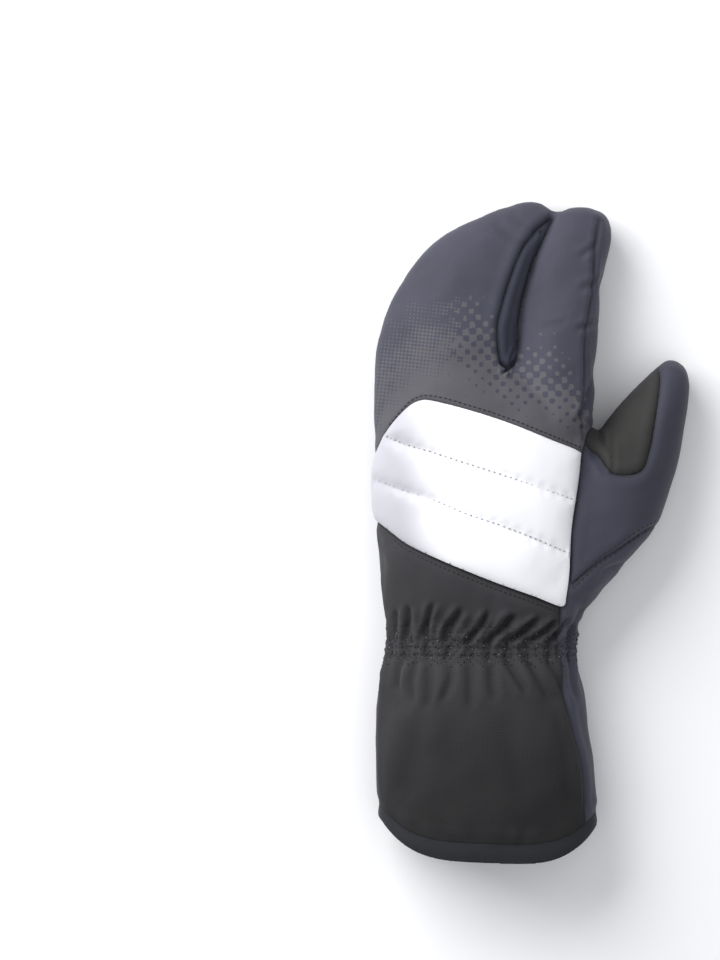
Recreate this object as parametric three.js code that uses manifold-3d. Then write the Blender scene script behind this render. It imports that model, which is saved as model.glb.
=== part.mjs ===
// Lobster claw mitt for the left hand: thumb, index finger and one wide compartment for three fingers.
// Millimetres. It lies palm down: +Z out of the back of the hand, +Y to the fingertips, +X to the thumb.
import * as THREE from 'three'
import { mergeVertices } from 'three/addons/utils/BufferGeometryUtils.js'
import Module from 'manifold-3d'

const wasm = await Module()
wasm.setup()

// Driving sizes
const MITT_LENGTH = 302
const PALM_WIDTH = 100
const PALM_THICKNESS = 50
const INDEX_LENGTH = 103.6
const INDEX_WIDTH = 27
const INDEX_THICKNESS = 29
const INDEX_TURN = 6
const THUMB_LENGTH = 118.6
const THUMB_WIDTH = 36
const THUMB_THICKNESS = 34
const THUMB_TURN = 24

// Walls, seams and gaps
const HAND_WALL = 4
const CUFF_WALL = 2.5
const HEM_WALL = 3.4
const HEM_HEIGHT = 9
const SEAM_GAP = 0.3
const GATHER_HEIGHT = 12.6
const HEM_BOW = 18

// Pads and quilting
const PAD_THICKNESS = 3.4
const PAD_EDGE = 0.9
const PAD_LIFT = 0.5
const QUILT_THICKNESS = 2.6
const QUILT_CHANNELS = 3

// Folds and gathers
const FOLD_COUNT = 11
const FOLD_DEPTH = 2.2
const HAND_FOLD_REACH = 30
const CUFF_FOLD_REACH = 52
const BOW_REACH = 60.4
const RUFFLE_COUNT = 22
const RUFFLE_DEPTH = 1.1

// Points around each hollow form
const HAND_POINTS = 36
const CUFF_POINTS = 44
const GATHER_POINTS = 88
const FINGER_POINTS = 20
const LINING_POINTS = 16

// Levels where the palm side's panels end, as shares of each form's thickness
const HAND_SPLIT = 0.44
const INDEX_SPLIT = 0.45
const THUMB_SPLIT = 0.41

// Where the forms meet, as shares of the mitt's length
const WRIST = 0.357
const CUFF_TOP = WRIST - GATHER_HEIGHT / MITT_LENGTH

// Sections of the hand. along: share of the mitt's length. left, right: edges as shares of the palm's width.
// top, mid, base: heights of the back, the widest level and the palm side as shares of the palm's thickness.
const HAND_SECTIONS = [
  { along: 0.357, left: -0.676, right: 0.200, top: 0.86, mid: 0.44, base: 0.045 },
  { along: 0.375, left: -0.684, right: 0.212, top: 0.92, mid: 0.45, base: 0.060 },
  { along: 0.411, left: -0.697, right: 0.228, top: 0.97, mid: 0.46, base: 0.062 },
  { along: 0.457, left: -0.706, right: 0.242, top: 1.00, mid: 0.47, base: 0.058 },
  { along: 0.518, left: -0.720, right: 0.255, top: 1.02, mid: 0.47, base: 0.056 },
  { along: 0.578, left: -0.727, right: 0.265, top: 1.02, mid: 0.46, base: 0.056 },
  { along: 0.639, left: -0.731, right: 0.269, top: 1.00, mid: 0.45, base: 0.056 },
  { along: 0.678, left: -0.731, right: 0.262, top: 0.98, mid: 0.44, base: 0.056 },
  { along: 0.702, left: -0.729, right: 0.215, top: 0.96, mid: 0.43, base: 0.052 },
  { along: 0.722, left: -0.727, right: 0.115, top: 0.94, mid: 0.42, base: 0.045 },
  { along: 0.742, left: -0.724, right: 0.005, top: 0.92, mid: 0.41, base: 0.035 },
  { along: 0.760, left: -0.719, right: -0.035, top: 0.90, mid: 0.40, base: 0.020 },
  { along: 0.780, left: -0.711, right: -0.026, top: 0.88, mid: 0.39, base: 0.005 },
  { along: 0.822, left: -0.683, right: -0.006, top: 0.83, mid: 0.37, base: -0.020 },
  { along: 0.852, left: -0.646, right: 0.013, top: 0.79, mid: 0.35, base: -0.025 },
  { along: 0.883, left: -0.596, right: 0.036, top: 0.74, mid: 0.33, base: -0.025 },
  { along: 0.913, left: -0.531, right: 0.060, top: 0.68, mid: 0.30, base: -0.020 },
  { along: 0.944, left: -0.435, right: 0.084, top: 0.60, mid: 0.27, base: -0.005 },
  { along: 0.962, left: -0.347, right: 0.096, top: 0.54, mid: 0.25, base: 0.020 },
  { along: 0.980, left: -0.251, right: 0.104, top: 0.46, mid: 0.24, base: 0.060 },
  { along: 0.991, left: -0.186, right: 0.085, top: 0.38, mid: 0.23, base: 0.110 },
  { along: 1.000, left: -0.060, right: -0.020, top: 0.25, mid: 0.22, base: 0.200 },
]

// Sections of the cuff, in the same columns
const CUFF_SECTIONS = [
  { along: -0.020, left: -0.704, right: 0.286, top: 0.90, mid: 0.44, base: -0.020 },
  { along: 0.060, left: -0.714, right: 0.287, top: 0.91, mid: 0.44, base: -0.020 },
  { along: 0.110, left: -0.722, right: 0.282, top: 0.92, mid: 0.44, base: -0.010 },
  { along: 0.160, left: -0.726, right: 0.272, top: 0.92, mid: 0.44, base: 0.010 },
  { along: 0.213, left: -0.729, right: 0.255, top: 0.92, mid: 0.44, base: 0.025 },
  { along: 0.259, left: -0.720, right: 0.242, top: 0.90, mid: 0.44, base: 0.035 },
  { along: 0.289, left: -0.702, right: 0.219, top: 0.87, mid: 0.44, base: 0.045 },
  { along: 0.315, left: -0.676, right: 0.198, top: 0.82, mid: 0.44, base: 0.060 },
  { along: 0.357, left: -0.668, right: 0.192, top: 0.82, mid: 0.44, base: 0.060 },
]

// Sections of a finger. along: share of its length. left, right: shares of its width from its own axis.
// top, mid, base: heights as shares of its thickness.
const INDEX_SECTIONS = [
  { along: 0.00, left: -0.70, right: 0.49, top: 1.56, mid: 0.74, base: 0.300 },
  { along: 0.15, left: -0.72, right: 0.50, top: 1.55, mid: 0.73, base: 0.220 },
  { along: 0.29, left: -0.73, right: 0.49, top: 1.47, mid: 0.71, base: 0.140 },
  { along: 0.40, left: -0.74, right: 0.50, top: 1.35, mid: 0.67, base: 0.080 },
  { along: 0.48, left: -0.70, right: 0.49, top: 1.25, mid: 0.63, base: 0.060 },
  { along: 0.58, left: -0.655, right: 0.485, top: 1.15, mid: 0.59, base: 0.040 },
  { along: 0.70, left: -0.585, right: 0.505, top: 1.06, mid: 0.55, base: 0.025 },
  { along: 0.80, left: -0.525, right: 0.515, top: 1.00, mid: 0.53, base: 0.030 },
  { along: 0.87, left: -0.485, right: 0.518, top: 0.94, mid: 0.51, base: 0.050 },
  { along: 0.92, left: -0.465, right: 0.495, top: 0.87, mid: 0.50, base: 0.090 },
  { along: 0.96, left: -0.400, right: 0.430, top: 0.78, mid: 0.48, base: 0.160 },
  { along: 0.985, left: -0.250, right: 0.320, top: 0.67, mid: 0.46, base: 0.250 },
  { along: 1.00, left: -0.020, right: 0.080, top: 0.48, mid: 0.45, base: 0.420 },
]

const THUMB_SECTIONS = [
  { along: -0.08, left: -0.60, right: 0.10, top: 1.20, mid: 0.62, base: 0.160 },
  { along: 0.00, left: -0.70, right: 0.195, top: 1.22, mid: 0.62, base: 0.140 },
  { along: 0.09, left: -0.76, right: 0.262, top: 1.23, mid: 0.62, base: 0.125 },
  { along: 0.17, left: -0.80, right: 0.335, top: 1.23, mid: 0.61, base: 0.110 },
  { along: 0.25, left: -0.82, right: 0.425, top: 1.22, mid: 0.60, base: 0.100 },
  { along: 0.33, left: -0.82, right: 0.520, top: 1.20, mid: 0.59, base: 0.090 },
  { along: 0.42, left: -0.80, right: 0.567, top: 1.17, mid: 0.57, base: 0.080 },
  { along: 0.50, left: -0.74, right: 0.545, top: 1.13, mid: 0.55, base: 0.070 },
  { along: 0.57, left: -0.66, right: 0.512, top: 1.09, mid: 0.53, base: 0.055 },
  { along: 0.62, left: -0.585, right: 0.495, top: 1.05, mid: 0.52, base: 0.040 },
  { along: 0.69, left: -0.510, right: 0.465, top: 1.00, mid: 0.50, base: 0.025 },
  { along: 0.77, left: -0.440, right: 0.418, top: 0.94, mid: 0.47, base: 0.015 },
  { along: 0.85, left: -0.355, right: 0.350, top: 0.86, mid: 0.44, base: 0.020 },
  { along: 0.92, left: -0.260, right: 0.255, top: 0.76, mid: 0.42, base: 0.060 },
  { along: 0.970, left: -0.175, right: 0.150, top: 0.66, mid: 0.41, base: 0.130 },
  { along: 0.990, left: -0.145, right: 0.080, top: 0.56, mid: 0.41, base: 0.230 },
  { along: 1.000, left: -0.090, right: -0.010, top: 0.45, mid: 0.41, base: 0.370 },
]

// Forms: where each one starts, where its axis points, and its sizes. across, along: shares of the palm's
// width and the mitt's length.
const HAND = {
  sections: HAND_SECTIONS,
  length: MITT_LENGTH,
  width: PALM_WIDTH,
  height: PALM_THICKNESS,
  turn: 0,
  start: { across: 0, along: 0 },
}
const CUFF = { ...HAND, sections: CUFF_SECTIONS }
const INDEX = {
  sections: INDEX_SECTIONS,
  length: INDEX_LENGTH,
  width: INDEX_WIDTH,
  height: INDEX_THICKNESS,
  turn: INDEX_TURN,
  start: { across: 0.122, along: 0.6545 },
}
const THUMB = {
  sections: THUMB_SECTIONS,
  length: THUMB_LENGTH,
  width: THUMB_WIDTH,
  height: THUMB_THICKNESS,
  turn: THUMB_TURN,
  start: { across: 0.191, along: 0.396 },
}

// Outlines in plan. across: share of the palm's width. along: share of the mitt's length.
const PALM_LEATHER_OUTLINE = [
  { across: -0.50, along: 0.33 }, { across: 0.13, along: 0.33 }, { across: 0.160, along: 0.366 },
  { across: 0.215, along: 0.400 }, { across: 0.262, along: 0.434 }, { across: 0.246, along: 0.456 },
  { across: 0.212, along: 0.493 }, { across: 0.202, along: 0.539 }, { across: 0.210, along: 0.590 },
  { across: 0.205, along: 0.640 }, { across: 0.195, along: 0.680 }, { across: 0.100, along: 0.695 },
  { across: 0.000, along: 0.718 }, { across: -0.085, along: 0.748 }, { across: -0.078, along: 0.800 },
  { across: -0.045, along: 0.852 }, { across: -0.020, along: 0.883 }, { across: 0.008, along: 0.913 },
  { across: 0.036, along: 0.944 }, { across: 0.038, along: 0.960 }, { across: -0.012, along: 0.974 },
  { across: -0.110, along: 0.974 }, { across: -0.204, along: 0.960 }, { across: -0.319, along: 0.936 },
  { across: -0.413, along: 0.905 }, { across: -0.475, along: 0.870 }, { across: -0.520, along: 0.825 },
  { across: -0.550, along: 0.770 }, { across: -0.560, along: 0.690 }, { across: -0.555, along: 0.600 },
  { across: -0.540, along: 0.500 }, { across: -0.520, along: 0.420 },
]
const BAND_OUTLINE = [
  { across: -0.80, along: 0.340 }, { across: 0.108, along: 0.340 }, { across: 0.113, along: 0.359 },
  { across: 0.122, along: 0.385 }, { across: -0.012, along: 0.402 }, { across: -0.163, along: 0.420 },
  { across: -0.315, along: 0.440 }, { across: -0.471, along: 0.463 }, { across: -0.582, along: 0.481 },
  { across: -0.651, along: 0.498 }, { across: -0.730, along: 0.518 }, { across: -0.80, along: 0.530 },
]
const CUFF_BACK_OUTLINE = [
  { across: -0.85, along: -0.10 }, { across: 0.237, along: -0.10 }, { across: 0.237, along: 0.099 },
  { across: 0.219, along: 0.148 }, { across: 0.182, along: 0.196 }, { across: 0.154, along: 0.236 },
  { across: 0.140, along: 0.274 }, { across: 0.108, along: 0.327 }, { across: 0.108, along: 0.400 },
  { across: -0.85, along: 0.400 },
]
const WEDGE_OUTLINE = [
  { across: 0.236, along: 0.640 }, { across: 0.361, along: 0.586 }, { across: 0.485, along: 0.591 },
  { across: 0.545, along: 0.651 }, { across: 0.577, along: 0.731 }, { across: 0.540, along: 0.760 },
  { across: 0.400, along: 0.720 }, { across: 0.297, along: 0.670 },
]
const THUMB_BACK_OUTLINE = [
  { across: 0.165, along: 0.421 }, { across: 0.283, along: 0.452 }, { across: 0.370, along: 0.472 },
  { across: 0.485, along: 0.498 }, { across: 0.640, along: 0.520 }, { across: 1.000, along: 0.600 },
  { across: 1.000, along: 0.850 }, { across: 0.560, along: 0.790 }, { across: 0.400, along: 0.720 },
  { across: 0.297, along: 0.655 }, { across: 0.236, along: 0.640 }, { across: 0.209, along: 0.592 },
  { across: 0.191, along: 0.546 }, { across: 0.168, along: 0.504 }, { across: 0.163, along: 0.466 },
]
const PAD_FINGERS_OUTLINE = [
  { across: 0.060, along: 0.676 }, { across: -0.146, along: 0.666 }, { across: -0.400, along: 0.645 },
  { across: -0.435, along: 0.634 }, { across: -0.395, along: 0.612 }, { across: -0.290, along: 0.577 },
  { across: -0.240, along: 0.572 }, { across: -0.120, along: 0.585 }, { across: 0.020, along: 0.608 },
  { across: 0.105, along: 0.628 }, { across: 0.105, along: 0.655 },
]
const PAD_HEEL_OUTLINE = [
  { across: 0.180, along: 0.600 }, { across: 0.120, along: 0.606 }, { across: 0.020, along: 0.564 },
  { across: -0.122, along: 0.519 }, { across: -0.276, along: 0.474 }, { across: -0.398, along: 0.434 },
  { across: -0.432, along: 0.410 }, { across: -0.383, along: 0.389 }, { across: -0.225, along: 0.376 },
  { across: -0.120, along: 0.377 }, { across: -0.050, along: 0.394 }, { across: 0.006, along: 0.427 },
  { across: 0.090, along: 0.491 }, { across: 0.165, along: 0.545 }, { across: 0.190, along: 0.580 },
]

// Edges of the reflective panel, each from its left or lower end
const PANEL_BOTTOM = [
  { across: -0.708, along: 0.516 }, { across: -0.582, along: 0.483 }, { across: -0.315, along: 0.442 },
  { across: -0.012, along: 0.404 }, { across: 0.122, along: 0.387 },
]
const PANEL_TOP = [
  { across: -0.640, along: 0.672 }, { across: -0.564, along: 0.694 }, { across: -0.471, along: 0.699 },
  { across: -0.287, along: 0.683 }, { across: -0.012, along: 0.652 }, { across: 0.206, along: 0.622 },
]
const PANEL_LEFT = [
  { across: -0.708, along: 0.516 }, { across: -0.712, along: 0.578 }, { across: -0.695, along: 0.643 },
  { across: -0.640, along: 0.672 },
]
const PANEL_RIGHT = [
  { across: 0.122, along: 0.387 }, { across: 0.159, along: 0.440 }, { across: 0.168, along: 0.504 },
  { across: 0.191, along: 0.560 }, { across: 0.206, along: 0.622 },
]

// Strips under the fingers, as shares of a finger's length and of its own half widths
const INDEX_LEATHER_STRIP = { from: 0.30, to: 0.60, left: 0.80, right: 0.80 }
const INDEX_TIP_STRIP = { from: 0.605, to: 0.955, left: 0.84, right: 0.84 }
const THUMB_LEATHER_STRIP = { from: 0.06, to: 0.66, left: 0.93, right: 0.62 }
const THUMB_TIP_STRIP = { from: 0.665, to: 0.965, left: 0.90, right: 0.70 }

// Colours and finishes
const NAVY = { color: 0x454552, roughness: 0.82, metalness: 0 }
const CHARCOAL = { color: 0x3a393c, roughness: 0.9, metalness: 0 }
const LEATHER = { color: 0x3f3f42, roughness: 0.5, metalness: 0 }
const SMOOTH_LEATHER = { color: 0x36363a, roughness: 0.42, metalness: 0 }
const REFLECTIVE = { color: 0xf2f2f6, roughness: 0.35, metalness: 0 }
const BINDING = { color: 0x33343d, roughness: 0.8, metalness: 0 }

// The floor lies at height 0, and the group's origin is under the middle of the mitt.
const CENTRE_X = -0.006 * PALM_WIDTH
const CENTRE_Y = MITT_LENGTH / 2
const BACK_SQUARENESS = 2.25
const PALM_SQUARENESS = 2.9

// Smooth value of a table's column between its rows, without overshoot
function columnAt(rows, key, column, at) {
  const last = rows.length - 1
  let i = 0
  while (i < last - 1 && at > rows[i + 1][key]) i += 1
  const step = (j) => rows[j + 1][key] - rows[j][key]
  const rise = (j) => (rows[j + 1][column] - rows[j][column]) / step(j)
  const slope = (j) => {
    if (j === 0) return rise(0)
    if (j === last) return rise(last - 1)
    const before = rise(j - 1)
    const after = rise(j)
    return before * after <= 0 ? 0 : (2 * before * after) / (before + after)
  }
  const span = step(i)
  const t = THREE.MathUtils.clamp((at - rows[i][key]) / span, 0, 1)
  const h00 = 2 * t ** 3 - 3 * t ** 2 + 1
  const h10 = t ** 3 - 2 * t ** 2 + t
  const h01 = 3 * t ** 2 - 2 * t ** 3
  const h11 = t ** 3 - t ** 2
  return h00 * rows[i][column] + h10 * span * slope(i) + h01 * rows[i + 1][column] + h11 * span * slope(i + 1)
}

// A form's section in millimetres at a share of its length
function sectionAt(form, along) {
  const value = (column) => columnAt(form.sections, 'along', column, along)
  return {
    along: along * form.length,
    left: value('left') * form.width,
    right: value('right') * form.width,
    top: value('top') * form.height,
    mid: value('mid') * form.height,
    base: value('base') * form.height,
  }
}

// A section thinned by a wall; the wall thins with the section where the form closes
function insetSection(section, form, wall) {
  const centre = (section.left + section.right) / 2
  const keepAcross = 1 - (2 * wall) / form.width
  const keepUp = 1 - (2 * wall) / form.height
  return {
    ...section,
    left: centre + (section.left - centre) * keepAcross,
    right: centre + (section.right - centre) * keepAcross,
    top: section.mid + (section.top - section.mid) * keepUp,
    base: section.mid + (Math.max(section.base, 0) - section.mid) * keepUp,
  }
}

// A form's own across, along and height turned into the mitt's place
function placeInForm(form, across, along, height) {
  const turn = THREE.MathUtils.degToRad(form.turn)
  const x = form.start.across * PALM_WIDTH + across * Math.cos(turn) + along * Math.sin(turn)
  const y = form.start.along * MITT_LENGTH - across * Math.sin(turn) + along * Math.cos(turn)
  return new THREE.Vector3(x - CENTRE_X, y - CENTRE_Y, height)
}

// A place in plan turned into a form's own across and its share of the form's length
function intoForm(form, x, y) {
  const turn = THREE.MathUtils.degToRad(form.turn)
  const dx = x + CENTRE_X - form.start.across * PALM_WIDTH
  const dy = y + CENTRE_Y - form.start.along * MITT_LENGTH
  return {
    across: dx * Math.cos(turn) - dy * Math.sin(turn),
    along: (dx * Math.sin(turn) + dy * Math.cos(turn)) / form.length,
  }
}

const signedPower = (value, power) => Math.sign(value) * Math.abs(value) ** power

// Height of a section's outside at a share of its half width, on the back or the palm side
function sectionHeight(section, share, side) {
  const square = side > 0 ? BACK_SQUARENESS : PALM_SQUARENESS
  const reach = Math.max(0, 1 - Math.min(1, Math.abs(share)) ** square) ** (1 / square)
  return side > 0
    ? section.mid + (section.top - section.mid) * reach
    : section.mid - (section.mid - section.base) * reach
}

// One closed ring of a form. options.lowest keeps it off the floor, options.shape moves its points
function ringOf(form, section, count, options = {}) {
  const centre = (section.left + section.right) / 2
  const half = (section.right - section.left) / 2
  const ring = []
  for (let i = 0; i < count; i += 1) {
    const angle = (i / count) * Math.PI * 2
    const side = Math.sin(angle) >= 0 ? 1 : -1
    const square = side > 0 ? BACK_SQUARENESS : PALM_SQUARENESS
    const share = signedPower(Math.cos(angle), 2 / square)
    let across = centre + half * share
    let height = sectionHeight(section, share, side)
    let along = section.along
    if (options.shape) {
      const moved = options.shape({ across, along, height, angle, share, section })
      across = moved.across
      along = moved.along
      height = moved.height
    }
    height = Math.max(height, options.lowest ?? 0)
    ring.push(placeInForm(form, across, along, height))
  }
  return ring
}

// Triangles between two rings of equal length
function joinRings(triangles, first, second) {
  const count = first.length
  for (let i = 0; i < count; i += 1) {
    const next = (i + 1) % count
    triangles.push(first[i], first[next], second[next])
    triangles.push(first[i], second[next], second[i])
  }
}

function closeRing(triangles, ring, flip) {
  const centre = new THREE.Vector3()
  for (const point of ring) centre.add(point)
  centre.divideScalar(ring.length)
  for (let i = 0; i < ring.length; i += 1) {
    const next = (i + 1) % ring.length
    if (flip) triangles.push(centre, ring[next], ring[i])
    else triangles.push(centre, ring[i], ring[next])
  }
}

function geometryOf(triangles) {
  const geometry = new THREE.BufferGeometry().setFromPoints(triangles)
  geometry.computeVertexNormals()
  return geometry
}

// A solid through rings that run along +Y, closed at both ends
function solidLoft(rings) {
  const triangles = []
  for (let i = 0; i < rings.length - 1; i += 1) joinRings(triangles, rings[i + 1], rings[i])
  closeRing(triangles, rings[0], false)
  closeRing(triangles, rings[rings.length - 1], true)
  return geometryOf(orient(triangles))
}

// A tube wall between outer and inner rings, open at both ends
function tubeLoft(outer, inner) {
  const triangles = []
  for (let i = 0; i < outer.length - 1; i += 1) joinRings(triangles, outer[i + 1], outer[i])
  for (let i = 0; i < inner.length - 1; i += 1) joinRings(triangles, inner[i], inner[i + 1])
  joinRings(triangles, outer[0], inner[0])
  joinRings(triangles, inner[inner.length - 1], outer[outer.length - 1])
  return geometryOf(orient(triangles))
}

// Turns a closed surface the right way out by its signed volume
function orient(points) {
  let volume = 0
  const cross = new THREE.Vector3()
  for (let i = 0; i < points.length; i += 3) {
    volume += points[i].dot(cross.crossVectors(points[i + 1], points[i + 2]))
  }
  if (volume >= 0) return points
  const turned = []
  for (let i = 0; i < points.length; i += 3) turned.push(points[i], points[i + 2], points[i + 1])
  return turned
}

function toManifold(geometry) {
  const bare = geometry.clone()
  bare.deleteAttribute('normal')
  bare.deleteAttribute('uv')
  const merged = mergeVertices(bare, 1e-4)
  const mesh = new wasm.Mesh({
    numProp: 3,
    vertProperties: new Float32Array(merged.attributes.position.array),
    triVerts: new Uint32Array(merged.index.array),
  })
  return new wasm.Manifold(mesh)
}

function toGeometry(manifold) {
  const mesh = manifold.getMesh()
  const geometry = new THREE.BufferGeometry()
  geometry.setAttribute('position', new THREE.BufferAttribute(new Float32Array(mesh.vertProperties), 3))
  geometry.setIndex(new THREE.BufferAttribute(new Uint32Array(mesh.triVerts), 1))
  return geometry
}

// Even shares from one value to another
function sharesBetween(from, to, count) {
  return Array.from({ length: count + 1 }, (_, i) => from + ((to - from) * i) / count)
}

// Folds run out of the gathered wrist and fade along the cloth
function foldShape(wristAlong, reach, depth, count) {
  return ({ across, along, height, angle, section }) => {
    const fade = Math.max(0, 1 - Math.abs(along - wristAlong) / reach) ** 1.5
    const wave = Math.sin(angle * count) + 0.4 * Math.sin(angle * (count - 4) + 1.3)
    const push = -depth * fade * (0.5 + 0.5 * wave)
    const middle = (section.left + section.right) / 2
    const out = new THREE.Vector2(across - middle, height - section.mid).normalize()
    return { across: across + out.x * push, along, height: height + out.y * push }
  }
}

// The cuff's mouth bows out in the middle of its back and palm
function bowShape(inner) {
  return (place) => {
    const moved = inner(place)
    const fade = THREE.MathUtils.clamp(1 - place.along / BOW_REACH, 0, 1.1)
    const bow = HEM_BOW * place.share ** 4
    return { ...moved, along: moved.along + bow * fade }
  }
}

const noShape = ({ across, along, height }) => ({ across, along, height })

// Outer and inner solids of the hand, the index finger and the thumb
function formSolid(form, shares, count, wall, shape) {
  const rings = shares.map((along) => {
    const whole = sectionAt(form, along)
    const section = wall > 0 ? insetSection(whole, form, wall) : whole
    return ringOf(form, section, count, { lowest: wall, shape })
  })
  return toManifold(solidLoft(rings))
}

function handOuter() {
  const shares = HAND_SECTIONS.map((row) => row.along)
  return formSolid(HAND, shares, HAND_POINTS, 0, foldShape(WRIST * MITT_LENGTH, HAND_FOLD_REACH, FOLD_DEPTH, FOLD_COUNT))
}

function indexOuter() {
  return formSolid(INDEX, INDEX_SECTIONS.map((row) => row.along), FINGER_POINTS, 0, noShape)
}

function thumbOuter() {
  return formSolid(THUMB, THUMB_SECTIONS.map((row) => row.along), FINGER_POINTS, 0, noShape)
}

// Shares of each form's length where its lining has a ring. The hand's first one runs out through the wrist.
const HAND_LINING_SHARES = [WRIST - 0.01, 0.41, 0.52, 0.64, 0.70, 0.742, 0.78, 0.852, 0.913, 0.962, 0.986, 1]
const INDEX_LINING_SHARES = [0, 0.29, 0.48, 0.70, 0.87, 0.96, 1]
const THUMB_LINING_SHARES = [0, 0.17, 0.33, 0.50, 0.69, 0.85, 0.965, 1]

// The hollow inside the hand; it runs out through the wrist
function hollow() {
  const hand = liningSolid(HAND, HAND_LINING_SHARES)
  const index = liningSolid(INDEX, INDEX_LINING_SHARES)
  const thumb = liningSolid(THUMB, THUMB_LINING_SHARES)
  return hand.add(index).add(thumb)
}

// A form's lining follows the same rows, drawn in by the wall and cut short at the tip
function liningSolid(form, shares) {
  const first = shares[0]
  const keep = (1 - first - HAND_WALL / form.length) / (1 - first)
  const rings = shares.map((share) => {
    const section = insetSection(sectionAt(form, Math.max(share, form.sections[0].along)), form, HAND_WALL)
    section.along = (first + (share - first) * keep) * form.length
    return ringOf(form, section, LINING_POINTS, { lowest: HAND_WALL })
  })
  return toManifold(solidLoft(rings))
}

// A vertical block over an outline in plan, grown or shrunk by a margin
function block(outline, low, high, margin = 0) {
  const points = growOutline(outline, margin)
  const shape = new THREE.Shape(points)
  const geometry = new THREE.ExtrudeGeometry(shape, { depth: high - low, bevelEnabled: false })
  geometry.translate(0, 0, low)
  return toManifold(geometry)
}

const planPoint = ({ across, along }) =>
  new THREE.Vector2(across * PALM_WIDTH - CENTRE_X, along * MITT_LENGTH - CENTRE_Y)

function growOutline(points, margin) {
  const ordered = THREE.ShapeUtils.isClockWise(points) ? [...points].reverse() : points
  return ordered.map((point, i) => {
    const before = ordered[(i - 1 + ordered.length) % ordered.length]
    const after = ordered[(i + 1) % ordered.length]
    const inward = point.clone().sub(before).normalize()
    const outward = after.clone().sub(point).normalize()
    const tangent = inward.add(outward).normalize()
    return new THREE.Vector2(point.x + tangent.y * margin, point.y - tangent.x * margin)
  })
}

// A strip under a finger, between two shares of its length and inside its two edges
function stripOutline(form, strip) {
  const left = []
  const right = []
  for (const along of sharesBetween(strip.from, strip.to, 6)) {
    const section = sectionAt(form, along)
    const centre = (section.left + section.right) / 2
    const half = (section.right - section.left) / 2
    const tip = along > 0.94 ? 0.7 : 1
    left.push(placeInForm(form, centre - half * strip.left * tip, section.along, 0))
    right.push(placeInForm(form, centre + half * strip.right * tip, section.along, 0))
  }
  return [...left, ...right.reverse()].map((point) => new THREE.Vector2(point.x, point.y))
}

// Height of the mitt's outside over a place in plan: the furthest out of the forms that lie there
function outsideHeight(x, y, side) {
  const heights = []
  for (const form of [HAND, INDEX, THUMB]) {
    const { across, along } = intoForm(form, x, y)
    const last = form.sections[form.sections.length - 1].along
    if (along < form.sections[0].along || along > last) continue
    const section = sectionAt(form, along)
    const share = (across - (section.left + section.right) / 2) / ((section.right - section.left) / 2)
    if (form === HAND || Math.abs(share) < 1) heights.push(sectionHeight(section, share, side))
  }
  return side > 0 ? Math.max(...heights) : Math.min(...heights)
}

// A point on the outside of the mitt over a place in plan, moved out along the surface's normal
function onOutside(place, side, out) {
  const at = (x, y) => new THREE.Vector3(x, y, outsideHeight(x, y, side))
  const reach = 0.2
  const here = at(place.x, place.y)
  const acrossStep = at(place.x + reach, place.y).sub(at(place.x - reach, place.y))
  const alongStep = at(place.x, place.y + reach).sub(at(place.x, place.y - reach))
  const normal = acrossStep.cross(alongStep).normalize().multiplyScalar(side)
  return here.addScaledVector(normal, out)
}

const smoothClosed = (outline, count) => {
  const points = outline.map(planPoint).map((point) => new THREE.Vector3(point.x, point.y, 0))
  return new THREE.CatmullRomCurve3(points, true, 'centripetal').getSpacedPoints(count).slice(0, count)
}

const smoothOpen = (outline) => {
  const points = outline.map(planPoint).map((point) => new THREE.Vector3(point.x, point.y, 0))
  return new THREE.CatmullRomCurve3(points, false, 'centripetal')
}

// A cushion under the palm: rings drawn in from its outline, rounded at its edge and flat on the floor
const PAD_RINGS = [
  { reach: 1.00, thick: 0 },
  { reach: 0.93, thick: 0.72 },
  { reach: 0.82, thick: 0.95 },
  { reach: 0.55, thick: 1 },
]
function palmPad(outline) {
  const edge = smoothClosed(outline, 26)
  const centre = new THREE.Vector3()
  for (const point of edge) centre.add(point)
  centre.divideScalar(edge.length)
  const ringAt = (reach, out) => edge.map((point) => {
    const place = centre.clone().lerp(point, reach)
    const lifted = onOutside(place, -1, out)
    lifted.z = Math.max(lifted.z, 0)
    return lifted
  })
  const triangles = []
  const outside = PAD_RINGS.map((row) => {
    const thick = PAD_EDGE + (PAD_THICKNESS - PAD_EDGE) * row.thick
    return ringAt(row.reach, PAD_LIFT + thick)
  })
  const inside = PAD_RINGS.map((row) => ringAt(row.reach, PAD_LIFT))
  for (let i = 0; i < outside.length - 1; i += 1) joinRings(triangles, outside[i], outside[i + 1])
  for (let i = 0; i < inside.length - 1; i += 1) joinRings(triangles, inside[i + 1], inside[i])
  joinRings(triangles, inside[0], outside[0])
  closeRing(triangles, outside[outside.length - 1], false)
  closeRing(triangles, inside[inside.length - 1], true)
  return geometryOf(orient(triangles))
}

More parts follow.
